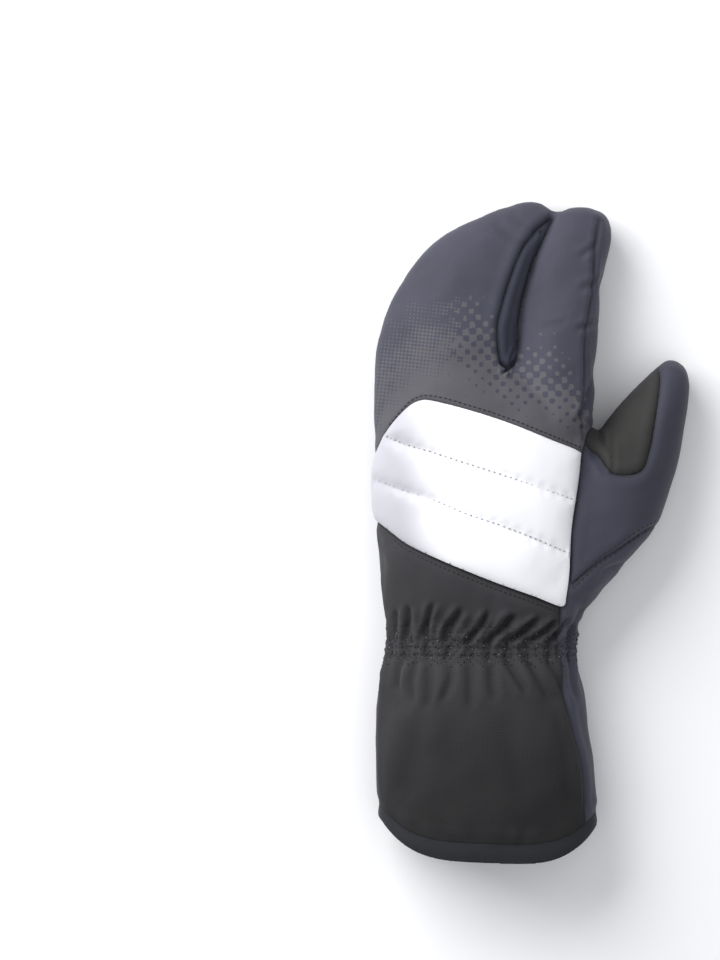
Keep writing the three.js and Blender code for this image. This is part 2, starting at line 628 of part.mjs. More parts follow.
// The reflective panel: a grid between its four edges, puffed up between its quilt lines
const CHANNEL_STEPS = [0, 0.12, 0.5, 0.88]
const ACROSS_STEPS = [0, 0.02, 0.05, 0.09, 0.14, 0.22, 0.34, 0.5, 0.66, 0.82, 0.94, 1]
function reflectivePanel() {
  const bottom = smoothOpen(PANEL_BOTTOM)
  const top = smoothOpen(PANEL_TOP)
  const left = smoothOpen(PANEL_LEFT)
  const right = smoothOpen(PANEL_RIGHT)
  const corner = { bl: bottom.getPoint(0), br: bottom.getPoint(1), tl: top.getPoint(0), tr: top.getPoint(1) }
  const place = (u, v) => {
    const point = bottom.getPointAt(u).multiplyScalar(1 - v).addScaledVector(top.getPointAt(u), v)
    point.addScaledVector(left.getPointAt(v), 1 - u).addScaledVector(right.getPointAt(v), u)
    point.addScaledVector(corner.bl, -(1 - u) * (1 - v)).addScaledVector(corner.br, -u * (1 - v))
    point.addScaledVector(corner.tl, -(1 - u) * v).addScaledVector(corner.tr, -u * v)
    return point
  }
  const along = []
  for (let channel = 0; channel < QUILT_CHANNELS; channel += 1) {
    for (const step of CHANNEL_STEPS) along.push((channel + step) / QUILT_CHANNELS)
  }
  along.push(1)
  const thickness = (u, v) => {
    const puff = Math.max(0, Math.sin(Math.PI * ((v * QUILT_CHANNELS) % 1))) ** 0.6
    const side = Math.min(1, Math.min(u, 1 - u) / 0.04) ** 0.6
    return PAD_EDGE + (QUILT_THICKNESS - PAD_EDGE) * puff * side
  }
  const outer = along.map((v) => ACROSS_STEPS.map((u) => onOutside(place(u, v), 1, PAD_LIFT + thickness(u, v))))
  const inner = along.map((v) => ACROSS_STEPS.map((u) => onOutside(place(u, v), 1, PAD_LIFT)))
  return geometryOf(orient(sheetTriangles(outer, inner)))
}

// A closed sheet between two grids of points
function sheetTriangles(outer, inner) {
  const triangles = []
  const rows = outer.length
  const columns = outer[0].length
  const face = (a, b, c, d) => triangles.push(a, b, c, a, c, d)
  for (let i = 0; i < rows - 1; i += 1) {
    for (let j = 0; j < columns - 1; j += 1) {
      face(outer[i][j], outer[i][j + 1], outer[i + 1][j + 1], outer[i + 1][j])
      face(inner[i][j], inner[i + 1][j], inner[i + 1][j + 1], inner[i][j + 1])
    }
  }
  for (let j = 0; j < columns - 1; j += 1) {
    face(inner[0][j], inner[0][j + 1], outer[0][j + 1], outer[0][j])
    face(outer[rows - 1][j], outer[rows - 1][j + 1], inner[rows - 1][j + 1], inner[rows - 1][j])
  }
  for (let i = 0; i < rows - 1; i += 1) {
    face(inner[i + 1][0], inner[i][0], outer[i][0], outer[i + 1][0])
    face(inner[i][columns - 1], inner[i + 1][columns - 1], outer[i + 1][columns - 1], outer[i][columns - 1])
  }
  return triangles
}

// The cuff: a flared tube with folds below the gathered wrist
function cuffTube() {
  const from = HEM_HEIGHT / MITT_LENGTH
  const to = CUFF_TOP - SEAM_GAP / MITT_LENGTH
  const shares = [from, 0.075, 0.13, 0.19, 0.24, 0.275, 0.297, to]
  const shape = bowShape(foldShape(CUFF_TOP * MITT_LENGTH, CUFF_FOLD_REACH, FOLD_DEPTH, FOLD_COUNT))
  return toManifold(tubeFromSections(CUFF, shares, CUFF_POINTS, CUFF_WALL, shape, 0, [from, 0.20, to]))
}

function tubeFromSections(form, shares, count, wall, shape, outset = 0, insideShares = shares) {
  const outer = []
  const inner = []
  for (const along of shares) {
    const section = sectionAt(form, along)
    const grown = {
      ...section,
      left: section.left - outset,
      right: section.right + outset,
      top: section.top + outset,
      base: section.base - outset,
    }
    outer.push(ringOf(form, grown, count, { shape }))
  }
  for (const along of insideShares) {
    const section = sectionAt(form, along)
    const thinned = {
      ...section,
      left: section.left + wall - outset,
      right: section.right - wall + outset,
      top: section.top - wall + outset,
      base: Math.max(section.base, 0) + wall - outset,
    }
    inner.push(ringOf(form, thinned, count, { lowest: wall - outset, shape }))
  }
  return tubeLoft(outer, inner)
}

function hemBinding() {
  const top = (HEM_HEIGHT - SEAM_GAP) / MITT_LENGTH
  const shares = [0, 0.35 * top, top]
  const outset = (HEM_WALL - CUFF_WALL) / 2
  return tubeFromSections(CUFF, shares, CUFF_POINTS, HEM_WALL - outset, bowShape(noShape), outset, [0, top])
}

// The shirred wrist: short ruffles all the way round, drawn in along the elastic's middle
function wristGather() {
  const from = CUFF_TOP
  const to = WRIST - SEAM_GAP / MITT_LENGTH
  const shares = sharesBetween(from, to, 2)
  const middle = ((from + to) / 2) * MITT_LENGTH
  const shape = ({ across, along, height, angle, section }) => {
    const edge = Math.min(1, (Math.abs(along - middle) / (GATHER_HEIGHT / 2)) ** 2)
    const wave = Math.sin(angle * RUFFLE_COUNT)
    const push = RUFFLE_DEPTH * (0.5 * wave - 0.5 + 0.35 * edge)
    const centre = (section.left + section.right) / 2
    const out = new THREE.Vector2(across - centre, height - section.mid).normalize()
    return { across: across + out.x * push, along, height: height + out.y * push }
  }
  return tubeFromSections(CUFF, shares, GATHER_POINTS, CUFF_WALL, shape)
}

// Cuts the hand's hollow shell into its panels
function handPanels() {
  const shell = handOuter().add(indexOuter()).add(thumbOuter()).subtract(hollow())
  const below = -5
  const above = PALM_THICKNESS * 1.3
  const split = HAND_SPLIT * PALM_THICKNESS
  const indexSplit = INDEX_SPLIT * INDEX_THICKNESS
  const thumbSplit = THUMB_SPLIT * THUMB_THICKNESS
  const half = SEAM_GAP / 2
  const lower = (points, upTo) => ({
    piece: block(points, below, upTo, -half),
    cut: block(points, below, upTo + SEAM_GAP, half),
  })
  const upper = (points) => ({
    piece: block(points, split + SEAM_GAP, above, -half),
    cut: block(points, split, above, half),
  })
  const whole = (points) => ({
    piece: block(points, below, above, -half),
    cut: block(points, below, above, half),
  })
  const panels = {
    palm_leather: lower(PALM_LEATHER_OUTLINE.map(planPoint), split),
    index_leather: lower(stripOutline(INDEX, INDEX_LEATHER_STRIP), indexSplit),
    index_tip_patch: lower(stripOutline(INDEX, INDEX_TIP_STRIP), indexSplit),
    thumb_leather: lower(stripOutline(THUMB, THUMB_LEATHER_STRIP), thumbSplit),
    thumb_tip_patch: lower(stripOutline(THUMB, THUMB_TIP_STRIP), thumbSplit),
    back_band: upper(BAND_OUTLINE.map(planPoint)),
    thumb_wedge: upper(WEDGE_OUTLINE.map(planPoint)),
    thumb_back: whole(THUMB_BACK_OUTLINE.map(planPoint)),
  }
  const result = {}
  let rest = shell
  for (const [name, { piece, cut }] of Object.entries(panels)) {
    result[name] = rest.intersect(piece)
    rest = rest.subtract(cut)
  }
  result.back_shell = rest
  return result
}

function cuffPanels() {
  const tube = cuffTube()
  const points = CUFF_BACK_OUTLINE.map(planPoint)
  const split = CUFF_SECTIONS[0].mid * PALM_THICKNESS
  const high = PALM_THICKNESS * 1.3
  return {
    cuff_back: tube.intersect(block(points, split + SEAM_GAP, high, -SEAM_GAP / 2)),
    cuff_palm: tube.subtract(block(points, split, high, SEAM_GAP / 2)),
  }
}

// Slivers that a cut leaves loose are dropped: of the shells in a geometry, only the largest stays
function largestShell(geometry) {
  const position = geometry.attributes.position
  const index = geometry.index.array
  const leader = Array.from({ length: position.count }, (_, i) => i)
  const find = (i) => {
    while (leader[i] !== i) {
      leader[i] = leader[leader[i]]
      i = leader[i]
    }
    return i
  }
  for (let i = 0; i < index.length; i += 3) {
    leader[find(index[i + 1])] = find(index[i])
    leader[find(index[i + 2])] = find(index[i])
  }
  const volumes = new Map()
  const corner = (i) => new THREE.Vector3().fromBufferAttribute(position, index[i])
  for (let i = 0; i < index.length; i += 3) {
    const shell = find(index[i])
    const volume = corner(i).dot(corner(i + 1).cross(corner(i + 2))) / 6
    volumes.set(shell, (volumes.get(shell) ?? 0) + volume)
  }
  const largest = [...volumes.entries()].reduce((best, entry) => (entry[1] > best[1] ? entry : best))[0]
  const kept = []
  for (let i = 0; i < index.length; i += 3) {
    if (find(index[i]) === largest) kept.push(index[i], index[i + 1], index[i + 2])
  }
  const result = new THREE.BufferGeometry()
  result.setAttribute('position', position)
  result.setIndex(kept)
  return mergeVertices(result.toNonIndexed(), 1e-4)
}

const FINISHES = {
  palm_leather: LEATHER,
  index_leather: LEATHER,
  index_tip_patch: SMOOTH_LEATHER,
  thumb_leather: LEATHER,
  thumb_tip_patch: SMOOTH_LEATHER,
  back_band: CHARCOAL,
  thumb_wedge: CHARCOAL,
  thumb_back: NAVY,
  back_shell: NAVY,
  cuff_back: CHARCOAL,
  cuff_palm: NAVY,
  wrist_gather: CHARCOAL,
  hem_binding: BINDING,
  reflective_panel: REFLECTIVE,
  pad_fingers: SMOOTH_LEATHER,
  pad_heel: SMOOTH_LEATHER,
}

const group = new THREE.Group()
function addPiece(name, geometry) {
  geometry.computeVertexNormals()
  const mesh = new THREE.Mesh(geometry, new THREE.MeshStandardMaterial(FINISHES[name]))
  mesh.name = name
  group.add(mesh)
}

for (const [name, solid] of Object.entries({ ...handPanels(), ...cuffPanels() })) {
  addPiece(name, largestShell(toGeometry(solid)))
}
addPiece('wrist_gather', wristGather())
addPiece('hem_binding', hemBinding())
addPiece('reflective_panel', reflectivePanel())
addPiece('pad_fingers', palmPad(PAD_FINGERS_OUTLINE))
addPiece('pad_heel', palmPad(PAD_HEEL_OUTLINE))

export default group
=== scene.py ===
"""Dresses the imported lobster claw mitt: cloth and leather panels, quilting, stitches and a plain studio."""
import logging
import math
from dataclasses import dataclass, field
from enum import Enum
from typing import Any, NamedTuple

import bpy
import numpy as np
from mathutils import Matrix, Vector
from mathutils.bvhtree import BVHTree
from mathutils.kdtree import KDTree


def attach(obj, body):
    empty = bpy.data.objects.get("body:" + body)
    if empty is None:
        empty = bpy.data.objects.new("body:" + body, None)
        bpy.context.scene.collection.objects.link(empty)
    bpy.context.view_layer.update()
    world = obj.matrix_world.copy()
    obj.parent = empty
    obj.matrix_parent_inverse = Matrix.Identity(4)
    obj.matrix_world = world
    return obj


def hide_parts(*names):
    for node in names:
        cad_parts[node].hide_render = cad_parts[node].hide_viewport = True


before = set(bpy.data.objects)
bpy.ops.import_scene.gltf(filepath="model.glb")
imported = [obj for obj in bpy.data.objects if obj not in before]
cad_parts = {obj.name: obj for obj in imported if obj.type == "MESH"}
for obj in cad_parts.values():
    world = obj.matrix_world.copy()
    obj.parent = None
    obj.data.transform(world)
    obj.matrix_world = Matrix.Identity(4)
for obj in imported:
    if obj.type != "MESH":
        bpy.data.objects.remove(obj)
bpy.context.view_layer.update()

LOG = logging.getLogger("mitt")
MM = 0.001
BODY = "root"

# A wave texture turns 20 radians for one unit of its scale.
WAVE_TURN = 2 * math.pi / 20

# The mitt's sizes in millimetres. The tables below are thousandths of them.
MITT_LENGTH = 302.0
PALM_WIDTH = 100.0
PALM_THICKNESS = 50.0
CENTRE_X = -0.6
CENTRE_Y = 151.0
HEM_BOW = 18.0
HEM_TILT = 1.9
BOW_REACH = 60.4
HEM_HEIGHT = 9.0
CUFF_TOP = 95.2
WRIST = 107.8
HAND_SPLIT = 22.0
BACK_SQUARENESS = 2.25
PALM_SQUARENESS = 2.9

# A cut stays at least this share of an edge away from the edge's ends, so that no sliver is left.
SLIVER = 0.12

# How far off the mitt a needle or a ray starts, in mm
RAY_START = 120.0

# The photo shows the mitt at this many millimetres a pixel, and this pixel lies over the mitt's origin.
PIXEL = 0.46
PHOTO_ORIGIN = (532.2, 531.74)
PHOTO_SIZE = (720, 960)


class Side(Enum):
    """Which side of the hand a line or fold lies on."""

    BACK = 1
    PALM = -1


class Row(NamedTuple):
    """One section of a form, as shares of its length, width and height."""

    along: float
    left: float
    right: float
    top: float
    mid: float
    base: float


class Fold(NamedTuple):
    """A fold in the cloth between two places in the photo's frame, in pixels, with depth and width in mm."""

    x0: float
    y0: float
    x1: float
    y1: float
    depth: float
    width: float


def rows_of(*table: tuple[int, ...]) -> tuple[Row, ...]:
    """Turns a table in thousandths into a form's sections."""
    return tuple(Row(*(value / 1000 for value in row)) for row in table)


# Cuff, wrist and hand with the wide compartment, from the hem to the tip
BODY_ROWS = rows_of(
    (-30, -704, 286, 900, 440, -20), (60, -714, 287, 910, 440, -20), (110, -722, 282, 920, 440, -10),
    (160, -726, 272, 920, 440, 10), (213, -729, 255, 920, 440, 25), (259, -720, 242, 900, 440, 35),
    (289, -702, 219, 870, 440, 45), (315, -676, 198, 830, 440, 58), (357, -676, 206, 860, 440, 50),
    (375, -684, 230, 920, 450, 60), (411, -697, 228, 970, 460, 62), (457, -706, 242, 1000, 470, 58),
    (518, -720, 255, 1020, 470, 56), (578, -727, 265, 1020, 460, 56), (639, -731, 269, 1000, 450, 56),
    (678, -731, 262, 980, 440, 56), (702, -729, 215, 960, 430, 52), (722, -727, 115, 940, 420, 45),
    (742, -724, 5, 920, 410, 35), (760, -719, -35, 900, 400, 20), (780, -711, -26, 880, 390, 5),
    (822, -683, -6, 830, 370, -20), (852, -646, 13, 790, 350, -25), (883, -596, 36, 740, 330, -25),
    (913, -531, 60, 680, 300, -20), (944, -435, 84, 600, 270, -5), (962, -347, 96, 540, 250, 20),
    (980, -251, 104, 460, 240, 60), (991, -186, 90, 400, 230, 90), (1000, -100, 62, 340, 220, 130),
    (1007, -50, 25, 270, 220, 180),
)
INDEX_ROWS = rows_of(
    (0, -700, 490, 1560, 740, 300), (150, -720, 500, 1550, 730, 220), (290, -730, 490, 1470, 710, 140),
    (400, -740, 500, 1350, 670, 80), (480, -700, 490, 1250, 630, 60), (580, -655, 485, 1150, 590, 40),
    (700, -585, 505, 1060, 550, 25), (800, -525, 515, 1000, 530, 30), (870, -485, 518, 940, 510, 50),
    (920, -465, 495, 870, 500, 90), (960, -400, 430, 780, 480, 160), (985, -250, 320, 670, 460, 250),
    (1000, -20, 80, 480, 450, 420),
)
THUMB_ROWS = rows_of(
    (-80, -600, 100, 1200, 620, 160), (0, -700, 195, 1220, 620, 140), (90, -760, 262, 1230, 620, 125),
    (170, -800, 335, 1230, 610, 110), (250, -820, 425, 1220, 600, 100), (330, -820, 520, 1200, 590, 90),
    (420, -800, 567, 1170, 570, 80), (500, -740, 545, 1130, 550, 70), (570, -660, 512, 1090, 530, 55),
    (620, -585, 495, 1050, 520, 40), (690, -510, 465, 1000, 500, 25), (770, -440, 418, 940, 470, 15),
    (850, -355, 350, 860, 440, 20), (920, -260, 255, 760, 420, 60), (970, -175, 150, 660, 410, 130),
    (990, -145, 80, 560, 410, 230), (1000, -90, -10, 450, 410, 370),
)

# Outlines in plan: thousandths of the palm's width and of the mitt's length
Outline = tuple[tuple[int, int], ...]
PALM_OUTLINE = (
    (-500, 330), (130, 330), (160, 366), (215, 400), (262, 434), (246, 456), (212, 493), (202, 539),
    (210, 590), (205, 640), (195, 680), (100, 695), (0, 718), (-85, 748), (-78, 800), (-45, 852),
    (-20, 883), (8, 913), (36, 944), (38, 960), (-12, 974), (-110, 974), (-204, 960), (-319, 936),
    (-413, 905), (-475, 870), (-520, 825), (-550, 770), (-560, 690), (-555, 600), (-540, 500), (-520, 420),
)
BAND_TOP = (
    (-800, 533), (-730, 518), (-651, 498), (-582, 482), (-471, 463), (-315, 441), (-163, 421), (-12, 403),
    (122, 386),
)
CUFF_EDGE = (
    (122, 386), (113, 359), (108, 327), (140, 274), (154, 236), (182, 196), (219, 148), (237, 99),
    (237, 40), (237, -100),
)
WEDGE_OUTLINE = (
    (236, 640), (300, 612), (361, 588), (485, 591), (525, 620), (545, 651), (577, 731), (540, 760),
    (400, 720), (297, 670),
)
THUMB_OUTLINE = (
    (165, 421), (283, 452), (370, 472), (485, 498), (640, 520), (1000, 600), (1000, 850), (560, 790),
    (400, 720), (297, 655), (236, 640), (209, 592), (191, 546), (168, 504), (163, 466),
)
PAD_FINGERS_OUTLINE = (
    (60, 676), (-146, 666), (-400, 645), (-435, 634), (-395, 612), (-290, 577), (-240, 572), (-120, 585),
    (20, 608), (105, 628), (105, 655),
)
PAD_HEEL_OUTLINE = (
    (180, 600), (120, 606), (20, 564), (-122, 519), (-276, 474), (-398, 434), (-432, 410), (-383, 389),
    (-225, 376), (-120, 377), (-50, 394), (6, 427), (90, 491), (165, 545), (190, 580),
)
PANEL_OUTLINE = (
    (122, 387), (143, 400), (159, 440), (168, 504), (191, 560), (209, 612), (197, 623), (62, 641),
    (-113, 664), (-287, 683), (-471, 699), (-520, 699), (-564, 693), (-622, 675), (-683, 649), (-722, 620),
    (-790, 566), (-835, 546), (-800, 534), (-725, 518), (-651, 499), (-582, 482), (-471, 464), (-315, 442),
    (-163, 422), (-12, 404),
)
PANEL_TOP = (
    (-660, 664), (-564, 699), (-471, 706), (-287, 690), (-113, 671), (62, 648), (205, 629),
)
PANEL_BOTTOM = (
    (-640, 487), (-582, 473), (-471, 454), (-315, 432), (-163, 412), (-12, 394), (105, 379),
)
QUILT_LINES = (
    ((-676, 645), (-582, 632), (-471, 621), (-315, 604), (-163, 588), (-12, 571), (187, 548)),
    ((-712, 578), (-591, 563), (-471, 550), (-315, 528), (-163, 511), (-12, 492), (158, 468)),
)
COMPARTMENT_SEAM = (
    (85, 979), (7, 956), (-58, 925), (-108, 884), (-150, 840), (-168, 810), (-159, 769), (-136, 750),
)
INDEX_SEAM = (
    (301, 973), (283, 932), (274, 877), (251, 830), (237, 796), (228, 731), (214, 694), (219, 642),
)
# Where the forms of the index finger and the compartment meet, and where the index finger's cloth hides it
FORM_CLEFT = (
    (105, 978), (77, 944), (52, 913), (28, 883), (5, 852), (-16, 822), (-35, 780), (-50, 758),
)
CLEFT_CREASE = (
    (90, 980), (50, 950), (0, 913), (-38, 873), (-58, 846), (-72, 807), (-80, 767), (-108, 748),
)
THUMB_SEAM = (
    (560, 510), (485, 498), (370, 472), (283, 452), (177, 419),
)
PALM_HEM = (
    (-495, 355), (-353, 330), (-260, 326), (-34, 324), (54, 324), (143, 343),
)

# How far up the print reaches over the knuckles: across, along
PRINT_REACH = (
    (-745, 800), (-614, 858), (-476, 885), (-306, 905), (-200, 868), (-140, 826), (-39, 806), (53, 815),
    (122, 806), (191, 752), (260, 700),
)

# Folds above and below the wrist's elastic and at the seams of the back
BACK_FOLDS = tuple(Fold(*row) for row in (
    (394, 634, 393, 612, 1.3, 1.9), (407, 636, 408, 606, 1.6, 2.0), (424, 637, 430, 604, 1.8, 2.0),
    (443, 640, 460, 608, 2.3, 2.1), (464, 641, 487, 614, 2.6, 2.1), (486, 642, 513, 616, 2.8, 2.1),
    (509, 641, 537, 617, 2.8, 2.1), (530, 642, 555, 620, 2.5, 2.0), (551, 640, 569, 616, 1.9, 1.9),
    (398, 660, 393, 688, 1.0, 2.6), (414, 661, 409, 700, 1.2, 3.0), (431, 662, 428, 706, 1.2, 3.0),
    (450, 664, 446, 700, 1.1, 2.6), (470, 664, 470, 706, 1.1, 3.0), (489, 662, 493, 697, 1.1, 2.6),
    (505, 661, 525, 690, 1.3, 2.2), (524, 661, 548, 698, 1.1, 2.4), (546, 659, 563, 690, 1.1, 2.2),
    (566, 655, 577, 700, 0.8, 2.4), (570, 636, 581, 604, 1.2, 2.2), (497, 359, 509, 374, 1.2, 1.3),
    (500, 374, 514, 362, 1.2, 1.3), (514, 349, 506, 366, 1.0, 1.3), (508, 214, 541, 236, 0.4, 3.2),
    (496, 224, 530, 248, 0.4, 3.4), (577, 420, 592, 380, 1.5, 1.9), (583, 428, 597, 404, 1.0, 1.6),
    (610, 437, 612, 474, 0.9, 1.4), (596, 432, 610, 456, 0.8, 2.0), (590, 452, 606, 478, 0.6, 2.2),
    (597, 246, 577, 258, 0.5, 2.0), (603, 280, 580, 290, 0.6, 2.2), (600, 322, 577, 330, 0.7, 2.2),
    (540, 330, 566, 322, 0.4, 2.6), (630, 560, 600, 570, 0.7, 2.2), (622, 580, 590, 596, 0.6, 2.4),
    (420, 700, 404, 790, 0.5, 6.0), (500, 712, 520, 800, 0.5, 7.0), (556, 716, 566, 800, 0.6, 5.0),
    (452, 716, 450, 770, 0.4, 6.0),
))
PALM_FOLDS = tuple(Fold(*row) for row in (
    (533, 395, 594, 390, 0.7, 1.3), (535, 381, 597, 375, 0.8, 1.3), (538, 366, 598, 360, 0.7, 1.3),
    (540, 352, 600, 346, 0.6, 1.3), (543, 338, 601, 333, 0.5, 1.3), (455, 300, 505, 330, 0.8, 2.2),
    (440, 330, 500, 352, 0.7, 2.4), (600, 480, 640, 520, 0.7, 2.0), (410, 500, 420, 560, 0.8, 2.6),
    (560, 560, 600, 590, 0.9, 2.2),
))


def in_plan(outline: Outline) -> np.ndarray:
    """Turns an outline's points into millimetres in the row's frame."""
    return np.array(outline, float) / 1000 * (PALM_WIDTH, MITT_LENGTH) - (CENTRE_X, CENTRE_Y)


def from_photo(x: float, y: float) -> np.ndarray:
    """Turns a place in the photo's frame into millimetres in plan."""
    return np.array([(x - PHOTO_ORIGIN[0]) * PIXEL, (PHOTO_ORIGIN[1] - y) * PIXEL])


def smooth_line(points: np.ndarray, closed: bool = False, step: float = 1.0) -> np.ndarray:
    """Draws a smooth line through points.

    Args:
        points: the places that it passes, one row each.
        closed: whether it comes back to its start.
        step: the distance between the points it returns.

    Returns:
        Points along the line.
    """
    if closed:
        p = np.vstack([points[-1:], points, points[:2]])
    else:
        p = np.vstack([2 * points[0] - points[1], points, 2 * points[-1] - points[-2]])
    parts = []
    for a, b, c, d in zip(p[:-3], p[1:-2], p[2:-1], p[3:]):
        count = max(2, int(np.linalg.norm(c - b) / step))
        t = (np.arange(count) / count)[:, None]
        parts.append(0.5 * (2 * b + (c - a) * t + (2 * a - 5 * b + 4 * c - d) * t**2
                            + (3 * b - a - 3 * c + d) * t**3))
    if not closed:
        parts.append(p[-2:-1])
    return np.vstack(parts)


def drawn(outline: Outline, closed: bool = False, step: float = 1.0) -> np.ndarray:
    """Draws a smooth line in plan, in millimetres, through an outline's points."""
    return smooth_line(in_plan(outline), closed, step)


def plan_field(outline: np.ndarray, places: np.ndarray) -> np.ndarray:
    """Measures how far places lie inside an outline in plan.

    Args:
        outline: the closed outline's points.
        places: the places to measure, in plan.

    Returns:
        The distance to the outline, positive inside.
    """
    nearest = np.full(len(places), np.inf)
    inside = np.zeros(len(places), bool)
    x, y = places[:, 0], places[:, 1]
    for p, q in zip(outline, np.roll(outline, -1, 0)):
        edge = q - p
        away = places - p
        t = np.clip(away @ edge / max(edge @ edge, 1e-9), 0, 1)
        nearest = np.minimum(nearest, ((away - t[:, None] * edge) ** 2).sum(1))
        if p[1] != q[1]:
            spans = (p[1] > y) != (q[1] > y)
            inside ^= spans & (x < edge[0] * (y - p[1]) / edge[1] + p[0])
    return np.where(inside, 1.0, -1.0) * np.sqrt(nearest)


def waves(points: np.ndarray, size: float, seed: int, count: int = 22) -> np.ndarray:
    """Gives soft random relief from about -1 to 1.

    Args:
        points: the places to read it at.
        size: the usual distance between two rises.
        seed: the fixed seed of its waves.
        count: how many waves it sums.

    Returns:
        One value for each point.
    """
    rng = np.random.default_rng(seed)
    total = np.zeros(len(points))
    for _ in range(count):
        way = rng.normal(size=3)
        way *= 2 * math.pi / (size * rng.uniform(0.7, 1.8)) / np.linalg.norm(way)
        total += np.sin(points @ way + rng.uniform(0, 2 * math.pi))
    return total / math.sqrt(count)


def bell(distance: np.ndarray, width: float) -> np.ndarray:
    """Falls from 1 to 0 over about twice the width."""
    return np.exp(-((distance / width) ** 2))


def ease(value: np.ndarray, low: float, high: float) -> np.ndarray:
    """Rises smoothly from 0 at low to 1 at high."""
    t = np.clip((value - low) / (high - low), 0, 1)
    return t * t * (3 - 2 * t)


def above_floor(height: np.ndarray, softness: float) -> np.ndarray:
    """Lifts heights that reach below the floor to just above it, without a crease."""
    return 0.5 * (height + np.sqrt(height**2 + softness))


def hem_rise(share: np.ndarray) -> np.ndarray:
    """Says how far the hem lies above its middle at a share of its half width, in mm."""
    return HEM_BOW * share**4 - HEM_TILT * share


@dataclass(frozen=True)
class Form:
    """A hollow form of the mitt, given by its sections."""

    rows: tuple[Row, ...]
    length: float
    width: float
    height: float
    turn: float
    across: float
    along: float
    bowed: bool = False

    def column(self, name: str, at: np.ndarray) -> np.ndarray:
        """Reads one column between the table's rows, smoothly and without overshoot.

        Args:
            name: the column.
            at: shares of the form's length.

        Returns:
            The column's values there.
        """
        x = np.array([row.along for row in self.rows])
        y = np.array([getattr(row, name) for row in self.rows])
        span = np.diff(x)
        rise = np.diff(y) / span
        product = rise[:-1] * rise[1:]
        total = rise[:-1] + rise[1:]
        slope = np.empty_like(y)
        slope[0], slope[-1] = rise[0], rise[-1]
        slope[1:-1] = np.where(product > 0, 2 * product / np.where(total == 0, 1, total), 0)
        i = np.clip(np.searchsorted(x, at) - 1, 0, len(x) - 2)
        t = np.clip((at - x[i]) / span[i], 0, 1)
        return ((2 * t**3 - 3 * t**2 + 1) * y[i] + (t**3 - 2 * t**2 + t) * span[i] * slope[i]
                + (3 * t**2 - 2 * t**3) * y[i + 1] + (t**3 - t**2) * span[i] * slope[i + 1])

    def edges(self, at: np.ndarray) -> tuple[np.ndarray, np.ndarray]:
        """Reads the form's left and right edges in mm at shares of its length."""
        return self.column("left", at) * self.width, self.column("right", at) * self.width

    def rings(self, shares: np.ndarray, count: int) -> np.ndarray:
        """Lays rings of points around the form.

        Args:
            shares: where along the form each ring lies.
            count: how many points a ring has.

        Returns:
            Points in the row's frame, ring by ring.
        """
        angle = np.linspace(0, 2 * math.pi, count, endpoint=False)
        square = np.where(np.sin(angle) >= 0, BACK_SQUARENESS, PALM_SQUARENESS)
        share = np.sign(np.cos(angle)) * np.abs(np.cos(angle)) ** (2 / square)
        rise = np.clip(1 - np.abs(share) ** square, 0, 1) ** (1 / square)
        left, right, top, mid, base = (self.column(key, shares)[:, None] for key in Row._fields[1:])
        across = ((left + right) / 2 + (right - left) / 2 * share) * self.width
        height = (mid + np.where(np.sin(angle) >= 0, top - mid, base - mid) * rise) * self.height
        along = np.repeat(shares[:, None] * self.length, count, 1)
        if self.bowed:
            along = along + hem_rise(share) * np.clip(1 - along / BOW_REACH, 0, 1.1)
        height = above_floor(height, 0.36)
        turn = math.radians(self.turn)
        x = self.across * PALM_WIDTH + across * math.cos(turn) + along * math.sin(turn) - CENTRE_X
        y = self.along * MITT_LENGTH - across * math.sin(turn) + along * math.cos(turn) - CENTRE_Y
        return np.stack([x, y, height], 2)

    def solid(self, shares: np.ndarray, count: int) -> tuple[np.ndarray, list[tuple[int, ...]]]:
        """Closes the rings into a solid.

        Args:
            shares: where along the form each ring lies.
            count: how many points a ring has.

        Returns:
            Its points and its faces.
        """
        rings = self.rings(shares, count)
        last = (len(shares) - 1) * count
        start = rings[0].mean(0) - (0, 1.3 * HEM_BOW if self.bowed else 0, 0)
        points = np.vstack([rings.reshape(-1, 3), start, rings[-1].mean(0)])
        faces: list[tuple[int, ...]] = []
        for row in range(len(shares) - 1):
            for i in range(count):
                a, b = row * count + i, row * count + (i + 1) % count
                faces.append((a, b, b + count, a + count))
        for i in range(count):
            j = (i + 1) % count
            faces.append((len(points) - 2, j, i))
            faces.append((len(points) - 1, last + i, last + j))
        return points, faces

    def into(self, places: np.ndarray) -> tuple[np.ndarray, np.ndarray]:
        """Turns places in plan into the form's own across, in mm, and share of its length.

        Args:
            places: places in plan.

        Returns:
            The across values and the shares.
        """
        turn = math.radians(self.turn)
        dx = places[:, 0] + CENTRE_X - self.across * PALM_WIDTH
        dy = places[:, 1] + CENTRE_Y - self.along * MITT_LENGTH
        across = dx * math.cos(turn) - dy * math.sin(turn)
        return across, (dx * math.sin(turn) + dy * math.cos(turn)) / self.length

    def strip(self, start: float, end: float, left: float, right: float, places: np.ndarray) -> np.ndarray:
        """Measures how far places lie inside a strip under a finger.

        Args:
            start: where it starts, as a share of the finger's length.
            end: where it ends.
            left: its left edge as a share of the finger's half width.
            right: its right edge.
            places: places in plan.

        Returns:
            The distance inside the strip, rounded at its far corners.
        """
        across, share = self.into(places)
        inner = np.clip(share, self.rows[0].along, 1)
        low, high = self.edges(inner)
        centre, half = (low + high) / 2, (high - low) / 2
        rounding = 0.02 * (across - centre) ** 2
        return np.minimum.reduce([across - (centre - half * left), (centre + half * right) - across,
                                  (share - start) * self.length, (end - share) * self.length - rounding])


BODY_FORM = Form(BODY_ROWS, MITT_LENGTH, PALM_WIDTH, PALM_THICKNESS, 0, 0, 0, bowed=True)
INDEX_FORM = Form(INDEX_ROWS, 103.6, 27.0, 29.0, 6, 0.122, 0.6545)
THUMB_FORM = Form(THUMB_ROWS, 118.6, 36.0, 34.0, 24, 0.191, 0.396)


